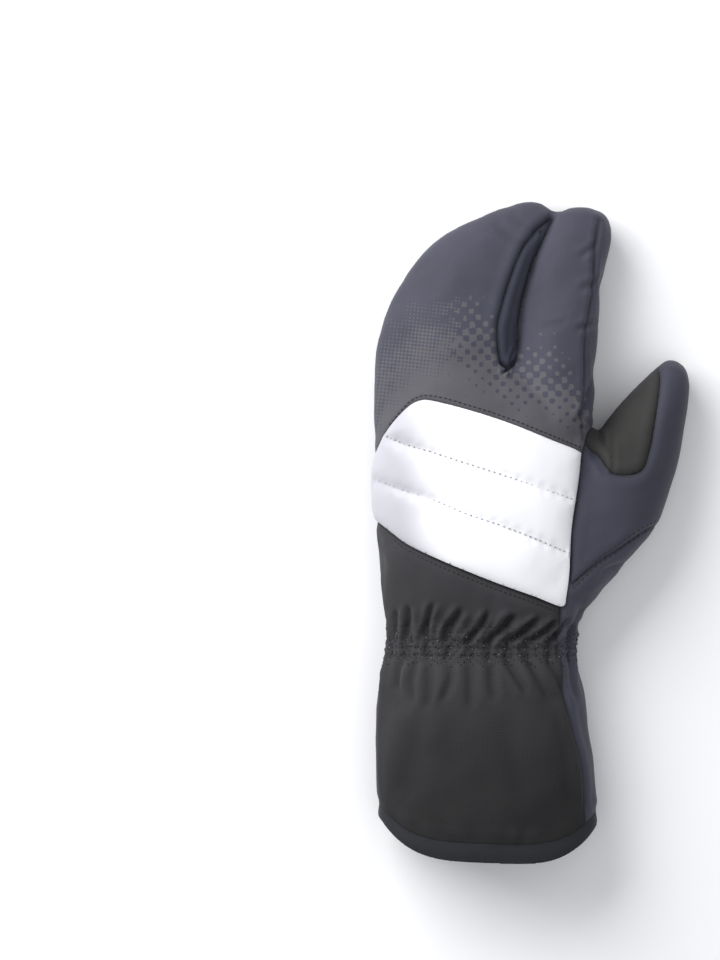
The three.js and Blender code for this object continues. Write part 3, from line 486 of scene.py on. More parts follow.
def new_object(name: str, points: np.ndarray, faces: Any, edges: Any = ()) -> bpy.types.Object:
    """Makes a mesh object from points in millimetres and links it to the scene.

    Args:
        name: its name.
        points: its points in the row's frame.
        faces: its faces.
        edges: its loose edges.

    Returns:
        The object, at the origin.
    """
    mesh = bpy.data.meshes.new(name)
    mesh.from_pydata((np.asarray(points) * MM).tolist(), [tuple(e) for e in edges], [tuple(f) for f in faces])
    mesh.update()
    made = bpy.data.objects.new(name, mesh)
    bpy.context.scene.collection.objects.link(made)
    return made


def numbers(items: Any, name: str, width: int, kind: type = np.int32) -> np.ndarray:
    """Reads one property of a mesh's vertices, edges or triangles, a row each.

    Args:
        items: the vertices, edges or triangles.
        name: the property.
        width: how many numbers it holds.
        kind: their type.

    Returns:
        One row for each item.
    """
    flat = np.empty(len(items) * width, kind)
    items.foreach_get(name, flat)
    return flat.reshape(-1, width)


def evaluated(source: bpy.types.Object) -> bpy.types.Mesh:
    """Returns a plain mesh of an object with its modifiers worked in."""
    graph = bpy.context.evaluated_depsgraph_get()
    return bpy.data.meshes.new_from_object(source.evaluated_get(graph))


def read_points(mesh: bpy.types.Mesh) -> np.ndarray:
    """Reads a mesh's points in millimetres."""
    return numbers(mesh.vertices, "co", 3, np.float32).astype(float) / MM


def write_points(mesh: bpy.types.Mesh, points: np.ndarray) -> None:
    """Writes points in millimetres into a mesh."""
    mesh.vertices.foreach_set("co", (points * MM).astype(np.float32).ravel())
    mesh.update()


def vertex_normals(points: np.ndarray, triangles: np.ndarray) -> np.ndarray:
    """Finds the outward direction at each point of a closed surface.

    Args:
        points: the surface's points.
        triangles: its triangles.

    Returns:
        One unit direction for each point.
    """
    a, b, c = (points[triangles[:, i]] for i in range(3))
    faces = np.cross(b - a, c - a)
    total = np.zeros_like(points)
    for corner in range(3):
        for axis in range(3):
            total[:, axis] += np.bincount(triangles[:, corner], faces[:, axis], len(points))
    return total / np.maximum(np.linalg.norm(total, axis=1, keepdims=True), 1e-12)


def relaxed(points: np.ndarray, edges: np.ndarray, rounds: int, share: float = 0.5) -> np.ndarray:
    """Evens a surface out.

    Args:
        points: the surface's points.
        edges: its edges.
        rounds: how many times each point moves towards its neighbours.
        share: how far it moves each time.

    Returns:
        The evened points.
    """
    size = len(points)
    count = np.maximum(np.bincount(edges.ravel(), minlength=size), 1)[:, None]
    for _ in range(rounds):
        total = np.zeros_like(points)
        for axis in range(points.shape[1]):
            total[:, axis] = (np.bincount(edges[:, 0], points[edges[:, 1], axis], size)
                              + np.bincount(edges[:, 1], points[edges[:, 0], axis], size))
        points = points + share * (total / count - points)
    return points


def gaps_to(points: np.ndarray, line: np.ndarray, far: float = 14.0) -> np.ndarray:
    """Measures the distance from points to a dense line in space, up to a limit.

    Args:
        points: the places to measure.
        line: points along the line.
        far: the distance that stands for anything further off.

    Returns:
        One distance for each point.
    """
    tree = KDTree(len(line))
    for i, place in enumerate(line):
        tree.insert(place, i)
    tree.balance()
    result = np.full(len(points), far)
    near = np.flatnonzero(np.all((points > line.min(0) - far) & (points < line.max(0) + far), axis=1))
    result[near] = [min(far, tree.find(points[i])[2]) for i in near]
    return result


def dropped(tree: BVHTree, place: np.ndarray, side: Side) -> tuple[Any, ...]:
    """Drops a ray at a place in plan from one side of the hand, and gives what it meets."""
    return tree.ray_cast(Vector((place[0], place[1], RAY_START * side.value)), Vector((0, 0, -side.value)))


def hem_distance(rest: np.ndarray) -> np.ndarray:
    """Measures how far up from the bowed hem each point of the skin lies, along the cloth.

    Args:
        rest: the skin's points at rest.

    Returns:
        One distance for each point.
    """
    across, share = BODY_FORM.into(rest)
    along = share * MITT_LENGTH
    height = along.copy()
    for _ in range(8):
        low, high = BODY_FORM.edges(height / MITT_LENGTH)
        place = np.clip((across - (low + high) / 2) / ((high - low) / 2), -1, 1)
        height = along - hem_rise(place) * np.clip(1 - height / BOW_REACH, 0, 1.1)
    return height


@dataclass
class Skin:
    """The mitt's closed outside: where each point rests, where the padding puts it, and which way is out."""

    rest: np.ndarray
    full: np.ndarray
    out: np.ndarray
    triangles: np.ndarray

    def over(self, line: np.ndarray, side: Side) -> np.ndarray:
        """Lays a line that is drawn in plan onto the skin.

        Args:
            line: its points in plan.
            side: the side of the hand that it lies on.

        Returns:
            The points where it meets the resting skin.
        """
        tree = BVHTree.FromPolygons(self.rest.tolist(), self.triangles.tolist())
        hits = (dropped(tree, place, side)[0] for place in line)
        return np.array([hit for hit in hits if hit is not None])


@dataclass(frozen=True)
class SkinMaker:
    """Joins the hand, the index finger and the thumb into one even skin and fills it out.

    The filling moves a point by no more than the most, and only its creases' share of fine movement is kept.
    """

    voxel: float = 2.4
    pressure: float = 4.0
    growth: float = 0.02
    frames: int = 20
    most: float = 3.0
    evening: int = 3
    calming: int = 14
    creases: float = 0.25
    panel_creases: float = 0.05
    lap_width: float = 9.0
    seam_width: float = 1.5

    def build(self) -> Skin:
        """Makes the skin at rest and filled out.

        Returns:
            The finished skin.
        """
        points: list[np.ndarray] = []
        faces: list[tuple[int, ...]] = []
        long_shares = np.concatenate([np.linspace(BODY_ROWS[0].along, 0.968, 150),
                                      np.linspace(0.973, BODY_ROWS[-1].along, 14)])
        finger_shares = np.concatenate([np.linspace(0.0, 0.95, 56), np.linspace(0.956, 1.0, 12)])
        for form, shares, count in ((BODY_FORM, long_shares, 150), (INDEX_FORM, finger_shares, 84),
                                    (THUMB_FORM, finger_shares, 96)):
            made, flat = form.solid(shares, count)
            start = sum(len(p) for p in points)
            points.append(made)
            faces.extend(tuple(i + start for i in face) for face in flat)
        rough = new_object("skin_forms", np.vstack(points), faces)
        remesh = rough.modifiers.new("Even", "REMESH")
        remesh.mode = "VOXEL"
        remesh.voxel_size = self.voxel * MM
        mesh = evaluated(rough)
        bpy.data.objects.remove(rough)
        skin = bpy.data.objects.new("skin_even", mesh)
        bpy.context.scene.collection.objects.link(skin)
        edges = numbers(mesh.edges, "vertices", 2)
        rest = self.lapped(relaxed(read_points(mesh), edges, self.evening))
        write_points(mesh, rest)
        full = self.filled(skin, rest, edges)
        fine_rest, triangles = self.finer(skin, rest)
        fine_full = self.finer(skin, full)[0]
        bpy.data.objects.remove(skin)
        fine_full[:, 2] = above_floor(fine_full[:, 2], 0.2)
        LOG.info("skin: %d points", len(fine_rest))
        return Skin(fine_rest, fine_full, vertex_normals(fine_full, triangles), triangles)

    def lapped(self, rest: np.ndarray) -> np.ndarray:
        """Draws the back of the index finger over its side of the cleft, as its padding does.

        Args:
            rest: the skin's points.

        Returns:
            The shifted points.
        """
        forms, crease = (in_plan(line)[::-1] for line in (FORM_CLEFT, CLEFT_CREASE))
        start = np.interp(rest[:, 1], forms[:, 1], forms[:, 0])
        shift = np.interp(rest[:, 1], crease[:, 1], crease[:, 0]) - start
        shift *= bell(rest[:, 0] - start, self.lap_width)
        shift *= ease(rest[:, 2], 13, 25) * ease(rest[:, 1], 60, 76)
        return rest + np.c_[shift, 0 * shift, 0 * shift]

    def finer(self, skin: bpy.types.Object, points: np.ndarray) -> tuple[np.ndarray, np.ndarray]:
        """Subdivides the skin once with its points at given places.

        Args:
            skin: the even skin's object.
            points: the places of its points.

        Returns:
            The finer skin's points and triangles.
        """
        write_points(skin.data, points)
        smooth = skin.modifiers.new("Finer", "SUBSURF")
        smooth.levels = smooth.render_levels = 1
        mesh = evaluated(skin)
        skin.modifiers.remove(smooth)
        mesh.calc_loop_triangles()
        return read_points(mesh), numbers(mesh.loop_triangles, "vertices", 3)

    def filled(self, skin: bpy.types.Object, rest: np.ndarray, edges: np.ndarray) -> np.ndarray:
        """Fills the skin out with a short cloth simulation that its seams hold.

        Args:
            skin: the even skin's object.
            rest: its points at rest.
            edges: its edges.

        Returns:
            Its points once filled out.
        """
        hold = self.held(rest)
        group = skin.vertex_groups.new(name="held")
        for weight in np.unique(hold):
            group.add(np.flatnonzero(hold == weight).tolist(), float(weight), "REPLACE")
        cloth = skin.modifiers.new("Filling", "CLOTH")
        chosen = {"quality": 5, "mass": 0.3, "tension_stiffness": 12, "compression_stiffness": 12,
                  "shear_stiffness": 5, "bending_stiffness": 0.8, "vertex_group_mass": "held",
                  "pin_stiffness": 1.0, "shrink_min": -self.growth, "use_pressure": True,
                  "uniform_pressure_force": self.pressure}
        for name, value in chosen.items():
            setattr(cloth.settings, name, value)
        cloth.settings.effector_weights.gravity = 0
        cloth.collision_settings.use_collision = False
        cloth.point_cache.frame_start = 1
        cloth.point_cache.frame_end = self.frames
        scene = bpy.context.scene
        for number in range(1, self.frames + 1):
            scene.frame_set(number)
        moved = read_points(evaluated(skin)) - rest
        skin.modifiers.remove(cloth)
        scene.frame_set(1)
        size = np.linalg.norm(moved, axis=1, keepdims=True)
        moved *= np.minimum(1, self.most / np.maximum(size, 1e-9))
        cleft = ease(rest[:, 1], 68, 82) * ease(rest[:, 0], -16, -10) * (1 - ease(rest[:, 0], 6, 14))
        moved *= (1 - 0.85 * cleft)[:, None]
        LOG.info("filling: moved %.2f mm at most, %.2f on average", size.max(), size.mean())
        calm = relaxed(moved, edges, self.calming)
        on_panel = ease(plan_field(drawn(PANEL_OUTLINE, True, 3), rest[:, :2]), -3, 3)
        keep = (self.creases - (self.creases - self.panel_creases) * on_panel)[:, None]
        return rest + calm + keep * (moved - calm)

    def held(self, rest: np.ndarray) -> np.ndarray:
        """Says how firmly the seams hold each point.

        Args:
            rest: the skin's points.

        Returns:
            A weight from 0 to 1 for each point.
        """
        hem = hem_distance(rest)
        hold = np.zeros(len(rest))
        hold[np.abs(hem - HEM_HEIGHT) < 1.6] = 1
        hold[hem < 2.0] = 1
        height = rest[:, 1] + CENTRE_Y
        hold[(height > CUFF_TOP - 1) & (height < WRIST + 1)] = 1
        for outline in (PANEL_OUTLINE, PALM_OUTLINE, THUMB_OUTLINE):
            hold[np.abs(plan_field(drawn(outline, True, 3), rest[:, :2])) < self.seam_width] = 1
        for line in (*QUILT_LINES, COMPARTMENT_SEAM, INDEX_SEAM):
            path = drawn(line, step=1.2)
            gap = gaps_to(np.c_[rest[:, :2], rest[:, 2] * 0], np.c_[path, path[:, 0] * 0], 3)
            hold[(gap < self.seam_width) & (rest[:, 2] > HAND_SPLIT)] = 1
        return hold


@dataclass
class Patchwork:
    """The skin's triangles, cut along level lines into panels that share their points."""

    columns: dict[str, slice]
    values: np.ndarray
    groups: dict[str, np.ndarray]

    def read(self, name: str) -> np.ndarray:
        """Reads a column of the points' values."""
        found = self.values[:, self.columns[name]]
        return found[:, 0] if found.shape[1] == 1 else found

    def cut(self, source: str, level: str, inside: str, keep: bool = False) -> None:
        """Cuts a group where a column is zero.

        Args:
            source: the group that is cut.
            level: the column that is read.
            inside: the group that takes the part where it is positive.
            keep: whether the source keeps that part as well.
        """
        triangles = self.groups[source]
        value = self.read(level)
        high = value[triangles] > 0
        count = high.sum(1)
        split = (count == 1) | (count == 2)
        mixed, flags = triangles[split], high[split]
        lone_high = flags.sum(1) == 1
        lone = np.where(lone_high, flags.argmax(1), (~flags).argmax(1))
        rows = np.arange(len(mixed))
        a, b, c = (mixed[rows, (lone + turn) % 3] for turn in range(3))
        ends = np.sort(np.vstack([np.c_[a, b], np.c_[a, c]]), axis=1)
        pairs, place = np.unique(ends, axis=0, return_inverse=True)
        place = place.ravel()
        low, top = pairs[:, 0], pairs[:, 1]
        share = np.clip(value[low] / (value[low] - value[top]), SLIVER, 1 - SLIVER)[:, None]
        start = len(self.values)
        self.values = np.vstack([self.values, self.values[low] * (1 - share) + self.values[top] * share])
        ab, ac = place[:len(a)] + start, place[len(a):] + start
        tips = np.c_[a, ab, ac]
        rest_one, rest_two = np.c_[ab, b, c], np.c_[ab, c, ac]
        low_side = ~lone_high
        taken = np.vstack([triangles[count == 3], tips[lone_high], rest_one[low_side], rest_two[low_side]])
        left = np.vstack([triangles[count == 0], tips[low_side], rest_one[lone_high], rest_two[lone_high]])
        self.groups[inside] = taken
        self.groups[source] = np.vstack([taken, left]) if keep else left


def border_of(triangles: np.ndarray) -> np.ndarray:
    """Finds the edges of a group of triangles that only one of them has, in its own direction."""
    ends = np.vstack([triangles[:, [0, 1]], triangles[:, [1, 2]], triangles[:, [2, 0]]])
    size = int(ends.max()) + 1
    key = ends[:, 0].astype(np.int64) * size + ends[:, 1]
    back = ends[:, 1].astype(np.int64) * size + ends[:, 0]
    return ends[~np.isin(key, back)]


@dataclass(frozen=True)
class Cutter:
    """Cuts the skin into the mitt's panels, along the same lines as the part's source.

    Each split is the height in mm that the leather or pad under a digit or the palm reaches up to.
    """

    index_split: float = 13.0
    thumb_split: float = 13.9
    pad_split: float = 15.0

    def fields(self, rest: np.ndarray) -> dict[str, np.ndarray]:
        """Measures how far inside each panel every point lies.

        Args:
            rest: the skin's points.

        Returns:
            One column for each panel, positive inside it.
        """
        plan, height = rest[:, :2], rest[:, 2]
        along = rest[:, 1] + CENTRE_Y
        hem = hem_distance(rest)

        def inside(outline: Outline, smooth: bool = True) -> np.ndarray:
            """Measures the distance inside an outline."""
            return plan_field(drawn(outline, True, 2) if smooth else in_plan(outline), plan)

        cuff_outline = np.vstack([in_plan(((-850, 420), (122, 420))), drawn(CUFF_EDGE, step=2),
                                  in_plan(((-850, -100),))])
        band_outline = np.vstack([in_plan(((-800, 320),)), drawn(BAND_TOP, step=2),
                                  in_plan(((113, 359), (108, 327), (108, 320)))])
        above = height - HAND_SPLIT
        under_index, under_thumb, under_pad = (split - height for split in (
            self.index_split, self.thumb_split, self.pad_split))
        return {
            "mouth": hem,
            "hem": HEM_HEIGHT - hem,
            "cuff": CUFF_TOP - along,
            "gather": WRIST - along,
            "cuff_back": np.minimum(plan_field(cuff_outline, plan), above),
            "palm": np.minimum(inside(PALM_OUTLINE), -above),
            "index_leather": np.minimum(INDEX_FORM.strip(0.30, 0.602, 0.80, 0.80, plan), under_index),
            "index_tip_patch": np.minimum(INDEX_FORM.strip(0.602, 0.97, 0.84, 0.84, plan), under_index),
            "thumb_leather": np.minimum(THUMB_FORM.strip(0.06, 0.662, 0.93, 0.62, plan), under_thumb),
            "thumb_tip_patch": np.minimum(THUMB_FORM.strip(0.662, 0.975, 0.90, 0.70, plan), under_thumb),
            "back_band": np.minimum(plan_field(band_outline, plan), above),
            "thumb_wedge": np.minimum(inside(WEDGE_OUTLINE), above + 5),
            "thumb_back": inside(THUMB_OUTLINE, False),
            "compartment_gusset": inside(COMPARTMENT_SEAM + CLEFT_CREASE[::-1]),
            "panel": np.minimum(inside(PANEL_OUTLINE), above + 4),
            "pad_fingers": np.minimum(inside(PAD_FINGERS_OUTLINE), under_pad),
            "pad_heel": np.minimum(inside(PAD_HEEL_OUTLINE), under_pad),
        }

    def build(self, skin: Skin) -> Patchwork:
        """Cuts the skin.

        Args:
            skin: the closed skin.

        Returns:
            The panels, which share the skin's points.
        """
        fields = self.fields(skin.rest)
        columns = {"rest": slice(0, 3), "full": slice(3, 6), "out": slice(6, 9)}
        for number, name in enumerate(fields):
            columns[name] = slice(9 + number, 10 + number)
        values = np.column_stack([skin.rest, skin.full, skin.out, *fields.values()])
        work = Patchwork(columns, values, {"all": skin.triangles})
        work.cut("all", "mouth", "back_shell")
        work.cut("back_shell", "hem", "hem_binding")
        work.cut("back_shell", "cuff", "cuff_palm")
        work.cut("cuff_palm", "cuff_back", "cuff_back")
        work.cut("back_shell", "gather", "wrist_gather_palm")
        work.cut("wrist_gather_palm", "cuff_back", "wrist_gather_back")
        work.cut("back_shell", "palm", "palm_leather")
        for name in ("index_leather", "index_tip_patch", "thumb_leather", "thumb_tip_patch", "back_band",
                     "thumb_wedge", "thumb_back", "compartment_gusset"):
            work.cut("back_shell", name, name)
        work.cut("back_shell", "panel", "reflective_panel", keep=True)
        work.cut("palm_leather", "pad_fingers", "pad_fingers", keep=True)
        work.cut("palm_leather", "pad_heel", "pad_heel", keep=True)
        del work.groups["all"]
        return work


@dataclass
class Relief:
    """How far the cloth stands out of the smooth skin at every point, in mm, and what its finishes read."""

    skin: Skin
    work: Patchwork
    groove: float = 0.75
    quilt_puff: float = 2.0
    pad_puff: float = 2.7
    sunk: float = 0.45
    deepest: float = 2.6
    groove_width: float = 1.25
    swell: float = 0.5
    fold_width: float = 0.68
    wander: float = 0.7
    pucker: float = 5.4
    ruffle: float = 10.1
    small_ruffle: float = 3.9
    elastic: tuple[float, ...] = (94.5, 98.0, 101.5, 105.0)
    cloth: np.ndarray = field(init=False)
    calm: np.ndarray = field(init=False)
    panel: np.ndarray = field(init=False)
    pads: np.ndarray = field(init=False)
    marks: dict[str, np.ndarray] = field(init=False)

    def __post_init__(self) -> None:
        """Works out all the relief once."""
        rest, out = self.work.read("rest"), self.work.read("out")
        seam = gaps_to(rest, self.seam_places(rest))
        topstitched = np.linalg.norm(rest[:, :2, None] - drawn(THUMB_SEAM, step=3).T, axis=1).min(1)
        flush = (1 - 0.9 * bell(self.work.read("hem"), 6.0)) * (1 - 0.85 * bell(topstitched, 5.0))
        height = flush * (-self.groove * bell(seam, self.groove_width) + self.swell * bell(seam - 4.0, 2.6))
        for line, depth, side in ((COMPARTMENT_SEAM, 0.35, Side.BACK), (INDEX_SEAM, 0.9, Side.BACK),
                                  (THUMB_SEAM, 0.3, Side.BACK), (CLEFT_CREASE, 0.5, Side.BACK),
                                  (FORM_CLEFT, 1.2, Side.PALM)):
            gap = gaps_to(rest, self.skin.over(drawn(line), side))
            height += depth * (0.35 * bell(gap - 2.8, 1.7) - bell(gap, 1.1))
            seam = np.minimum(seam, gap)
        self.calm = 0.30 * waves(rest, 36, 5) + 0.08 * waves(rest, 15, 6)
        height += 1.2 * self.calm + self.folds(rest, out) + self.gathers(rest, out) + self.hem(rest)
        edge = np.clip(self.work.read("panel"), 0, 40)
        quilt = np.minimum.reduce([gaps_to(rest, self.skin.over(drawn(line), Side.BACK))
                                   for line in QUILT_LINES])
        pucker = 0.14 * bell(quilt - 1.6, 1.5) * np.sin(rest[:, 0] * 2 * math.pi / self.pucker)
        self.panel = 0.4 + self.quilt_puff * (1 - np.exp(-np.minimum(edge, quilt) / 2.6)) + pucker
        inside = np.maximum(self.work.read("pad_fingers"), self.work.read("pad_heel"))
        self.pads = 0.5 + self.pad_puff * (1 - np.exp(-np.clip(inside, 0, 40) / 2.4))
        under = np.maximum(ease(self.work.read("panel"), -0.6, 0.8), ease(inside, -0.6, 0.8))
        height = height * (1 - under) - self.sunk * under
        border = np.minimum(np.abs(self.work.read("panel")), np.abs(inside))
        height -= 0.35 * bell(border, 1.2) * (1 - under)
        self.cloth = np.maximum(height, -self.deepest)
        self.marks = {
            "seam": np.minimum(seam, np.minimum(border, 6)),
            "quilt": np.minimum(quilt, 6),
            # The fold mark gives the finishes painted shade in hollows and painted light on raised cloth.
            "fold": np.clip(-self.cloth / 2.5, -1, 1),
            "print": self.printed(rest, out),
            "coarse": ease(rest[:, 0] + 2.5 * waves(rest, 9, 9), -47, -24),
        }

    def seam_places(self, rest: np.ndarray) -> np.ndarray:
        """Collects the places where two panels are sewn together.

        Args:
            rest: the points.

        Returns:
            The places on the seams, without the elastic's edges and the cuff's mouth.
        """
        on_top = ("reflective_panel", "pad_fingers", "pad_heel")
        borders = [np.unique(border_of(t)) for name, t in self.work.groups.items() if name not in on_top]
        places = rest[np.unique(np.concatenate(borders))]
        along = places[:, 1] + CENTRE_Y
        elastic = np.abs(along - CUFF_TOP) < 0.6
        elastic |= (np.abs(along - WRIST) < 0.6) & (places[:, 2] > HAND_SPLIT)
        mouth = np.abs(hem_distance(places)) < 0.8
        return places[~(elastic | mouth)]

    def folds(self, rest: np.ndarray, out: np.ndarray) -> np.ndarray:
        """Presses the listed folds into the cloth.

        Args:
            rest: the points.
            out: their outward directions.

        Returns:
            The folds' relief.
        """
        plan = rest[:, :2] + self.wander * np.c_[waves(rest, 20, 11), waves(rest, 20, 12)]
        height = np.zeros(len(rest))
        for side, table in ((Side.BACK, BACK_FOLDS), (Side.PALM, PALM_FOLDS)):
            facing = ease(out[:, 2] * side.value, -0.05, 0.35)
            for fold in table:
                start, end = from_photo(fold.x0, fold.y0), from_photo(fold.x1, fold.y1)
                way = end - start
                t = (plan - start) @ way / (way @ way)
                gap = np.linalg.norm(plan - start - np.clip(t, -0.1, 1.1)[:, None] * way, axis=1)
                fade = facing * (1 - ease(np.abs(2 * t - 1), 0.65, 1.25))
                wide = self.fold_width * fold.width
                height += fold.depth * fade * (0.5 * bell(gap - 2.0 * wide, 1.1 * wide) - bell(gap, wide))
        return height

    def around(self, rest: np.ndarray) -> np.ndarray:
        """Measures how far round the wrist each point lies.

        Args:
            rest: the points.

        Returns:
            The distance from the middle of the back, in mm, for each point.
        """
        ring = BODY_FORM.rings(np.array([WRIST / MITT_LENGTH]), 720)[0]
        share = np.clip((rest[:, 1] + CENTRE_Y) / MITT_LENGTH, 0, 1)
        low, high = BODY_FORM.edges(share)
        middle = (low + high) / 2 - CENTRE_X
        level = BODY_FORM.column("mid", share) * PALM_THICKNESS
        centre = ring.mean(0)
        ring_angle = np.arctan2(ring[:, 0] - centre[0], ring[:, 2] - level.mean())
        order = np.argsort(ring_angle)
        line = ring[order]
        steps = np.linalg.norm(np.diff(line, axis=0, prepend=line[-1:]), axis=1)
        length = np.cumsum(steps)
        zero = np.interp(0, ring_angle[order], length)
        angle = np.arctan2(rest[:, 0] - middle, rest[:, 2] - level)
        return np.interp(angle, ring_angle[order], length) - zero + middle

    def gathers(self, rest: np.ndarray, out: np.ndarray) -> np.ndarray:
        """Draws the cloth in along the wrist's elastic.

        Args:
            rest: the points.
            out: their outward directions.

        Returns:
            The ruffles' relief.
        """
        along = rest[:, 1] + CENTRE_Y
        place = self.around(rest) + 1.1 * waves(rest, 24, 21)
        valley = (0.5 + 0.5 * np.cos((place + 0.1) * 2 * math.pi / self.ruffle)) ** 1.6
        small = 0.5 + 0.5 * np.sin(place * 2 * math.pi / self.small_ruffle + 2.2 * waves(rest, 12, 22))
        zone = ease(along, 89, 95) * (1 - ease(along, 106, 112))
        rows = sum(bell(along - row, 0.9) for row in self.elastic)
        away = np.clip(np.abs(along - 100.5) - 5.0, 0, 60)
        palm = ease(-out[:, 2], -0.35, 0.2)
        spread = np.exp(-away / 12.0) * (0.30 + 0.70 * palm)
        height = zone * (-1.5 * valley - 0.75 * small + 0.75) - 0.45 * rows * zone
        return height - 1.5 * valley * spread * (1 - zone) * ease(along, 30, 70)

    def hem(self, rest: np.ndarray) -> np.ndarray:
        """Rounds the hem's tape and puckers the cloth above it.

        Args:
            rest: the points.

        Returns:
            The hem's relief.
        """
        hem = self.work.read("mouth")
        tape = np.clip(1 - ((hem - 4.0) / 5.2) ** 2, 0, 1) ** 0.5
        ripple = np.sin(rest[:, 0] * 2 * math.pi / 12.5 + 1.6 * waves(rest, 30, 31))
        return 0.12 * tape * (hem < HEM_HEIGHT) + 0.32 * ripple * bell(hem - 13.0, 4.5)

    def printed(self, rest: np.ndarray, out: np.ndarray) -> np.ndarray:
        """Says how much of the knuckles' print covers each point.

        Args:
            rest: the points.
            out: their outward directions.

        Returns:
            A share from 0 to 1 for each point.
        """
        upper = drawn(PRINT_REACH)
        order = np.argsort(upper[:, 0])
        top = np.interp(rest[:, 0], upper[order, 0], upper[order, 1])
        lower = np.vstack([in_plan(((-735, 600),)), drawn(PANEL_TOP)])
        base = np.interp(rest[:, 0], lower[:, 0], lower[:, 1])
        cover = np.clip((top - rest[:, 1]) / np.maximum(top - base, 1), 0, 1)
        above = ease(rest[:, 1] - base, -6, -4)
        return cover * above * ease(out[:, 2], 0.0, 0.5) * ease(rest[:, 2], HAND_SPLIT - 2, HAND_SPLIT + 6)


@dataclass
class Tailor:
    """Turns the cut panels into closed shells, with a lining on their inner side."""

    work: Patchwork
    relief: Relief
    under_pad: float = 0.2
    pad_floor: float = 0.05
    lining_floor: float = 0.8

    def outside(self, top: np.ndarray | None = None) -> np.ndarray:
        """Gives the places of the dressed outside, kept above the floor.

        Args:
            top: relief to use instead of the cloth's.

        Returns:
            One place for each point.
        """
        raised = self.relief.cloth if top is None else top
        places = self.work.read("full") + self.work.read("out") * raised[:, None]
        places[:, 2] = above_floor(places[:, 2], 0.04)
        return places

    def shell(self, name: str, group: str, wall: float, top: np.ndarray | None = None, gap: float = 0.12,
              lip: float = 0.0) -> bpy.types.Object:
        """Makes one panel's closed shell.

        Args:
            name: the piece's name.
            group: the panel's triangles.
            wall: how thick it is.
            top: relief of a piece that lies on another one, or None for a panel of the wall itself.
            gap: how wide the seam beside it is.
            lip: how far its free edge rounds out.

        Returns:
            The piece, with its finishes' marks on its points.
        """
        triangles = self.work.groups[group]
        used, flat = np.unique(triangles, return_inverse=True)
        triangles = flat.reshape(-1, 3)
        out = self.work.read("out")[used]
        outer = self.outside(top)[used]
        inner = self.work.read("full")[used] - out * (wall if top is None else self.under_pad)
        inner[:, 2] = np.maximum(inner[:, 2], self.lining_floor if top is None else self.pad_floor)
        border = border_of(triangles)
        run = outer[border[:, 1]] - outer[border[:, 0]]
        away = np.cross(run, (out[border[:, 0]] + out[border[:, 1]]) / 2)
        aside = np.zeros_like(outer)
        for axis in range(3):
            aside[:, axis] = (np.bincount(border[:, 0], away[:, axis], len(used))
                              + np.bincount(border[:, 1], away[:, axis], len(used)))
        aside /= np.maximum(np.linalg.norm(aside, axis=1, keepdims=True), 1e-9)
        outer -= aside * gap
        inner -= aside * gap
        steps = 4 if lip else 1
        free = lip * (1 - ease(self.work.read("mouth")[used], 0.4, 1.2)) if lip else np.zeros(len(used))
        size = len(used)
        layers = [outer]
        edge = np.unique(border)
        slot_of = np.full(size, -1)
        slot_of[edge] = np.arange(len(edge))
        for step in range(1, steps):
            t = step / steps
            bulge = aside[edge] * (free[edge] * math.sin(math.pi * t))[:, None]
            layers.append(outer[edge] * (1 - t) + inner[edge] * t + bulge)
        layers.append(inner)

        def row(step: int, index: np.ndarray) -> np.ndarray:
            """Finds the border points' places in one layer of the rim."""
            if step == 0:
                return index
            if step == steps:
                return index + size + (steps - 1) * len(edge)
            return slot_of[index] + size + (step - 1) * len(edge)

        a, b = border[:, 0], border[:, 1]
        rims = []
        for step in range(steps):
            rims.append(np.c_[row(step, b), row(step, a), row(step + 1, a)])
            rims.append(np.c_[row(step, b), row(step + 1, a), row(step + 1, b)])
        back = triangles[:, ::-1] + size + (steps - 1) * len(edge)
        piece = new_object(name, np.vstack(layers), np.vstack([triangles, back, *rims]).tolist())
        mesh = piece.data
        lined = np.zeros(len(mesh.polygons), np.int32)
        lined[len(triangles):2 * len(triangles)] = 1
        mesh.polygons.foreach_set("material_index", lined)
        mesh.polygons.foreach_set("use_smooth", np.ones(len(mesh.polygons), bool))
        if not lip:
            ends = np.sort(numbers(mesh.edges, "vertices", 2).astype(np.int64), axis=1)
            total = len(mesh.vertices)
            rim = np.sort(np.vstack([border, border + size]), axis=1)
            sharp = np.isin(ends[:, 0] * total + ends[:, 1], rim[:, 0] * total + rim[:, 1])
            mesh.edges.foreach_set("use_edge_sharp", sharp)
        for mark, values in self.relief.marks.items():
            chosen = values[used]
            spread = [chosen, *[chosen[edge]] * (steps - 1), chosen]
            mesh.attributes.new(mark, "FLOAT", "POINT").data.foreach_set("value", np.concatenate(spread))
        mesh.update()
        return piece


def linear(colour: str) -> tuple[float, float, float, float]:
    """Turns an sRGB hex colour into linear values."""
    parts = [int(colour[i:i + 2], 16) / 255 for i in (1, 3, 5)]
    return (*((v / 12.92 if v <= 0.04045 else ((v + 0.055) / 1.055) ** 2.4) for v in parts), 1.0)


def add(tree: bpy.types.NodeTree, kind: str, links: dict[Any, Any] | None = None, **settings: Any) -> Any:
    """Adds a node with its settings and links.

    Args:
        tree: the tree that it goes into.
        kind: the node's type, where a shader node's goes without its first words.
        links: a value, another node's output, or a node for its first output, by the input's name or number.
        settings: its own settings.

    Returns:
        The node.
    """
    node = tree.nodes.new(kind if "Node" in kind else f"ShaderNode{kind}")
    for key, value in settings.items():
        setattr(node, key, value)
    for key, value in (links or {}).items():
        if isinstance(value, bpy.types.Node):
            value = value.outputs[0]
        if isinstance(value, bpy.types.NodeSocket):
            tree.links.new(value, node.inputs[key])
        else:
            node.inputs[key].default_value = value
    return node


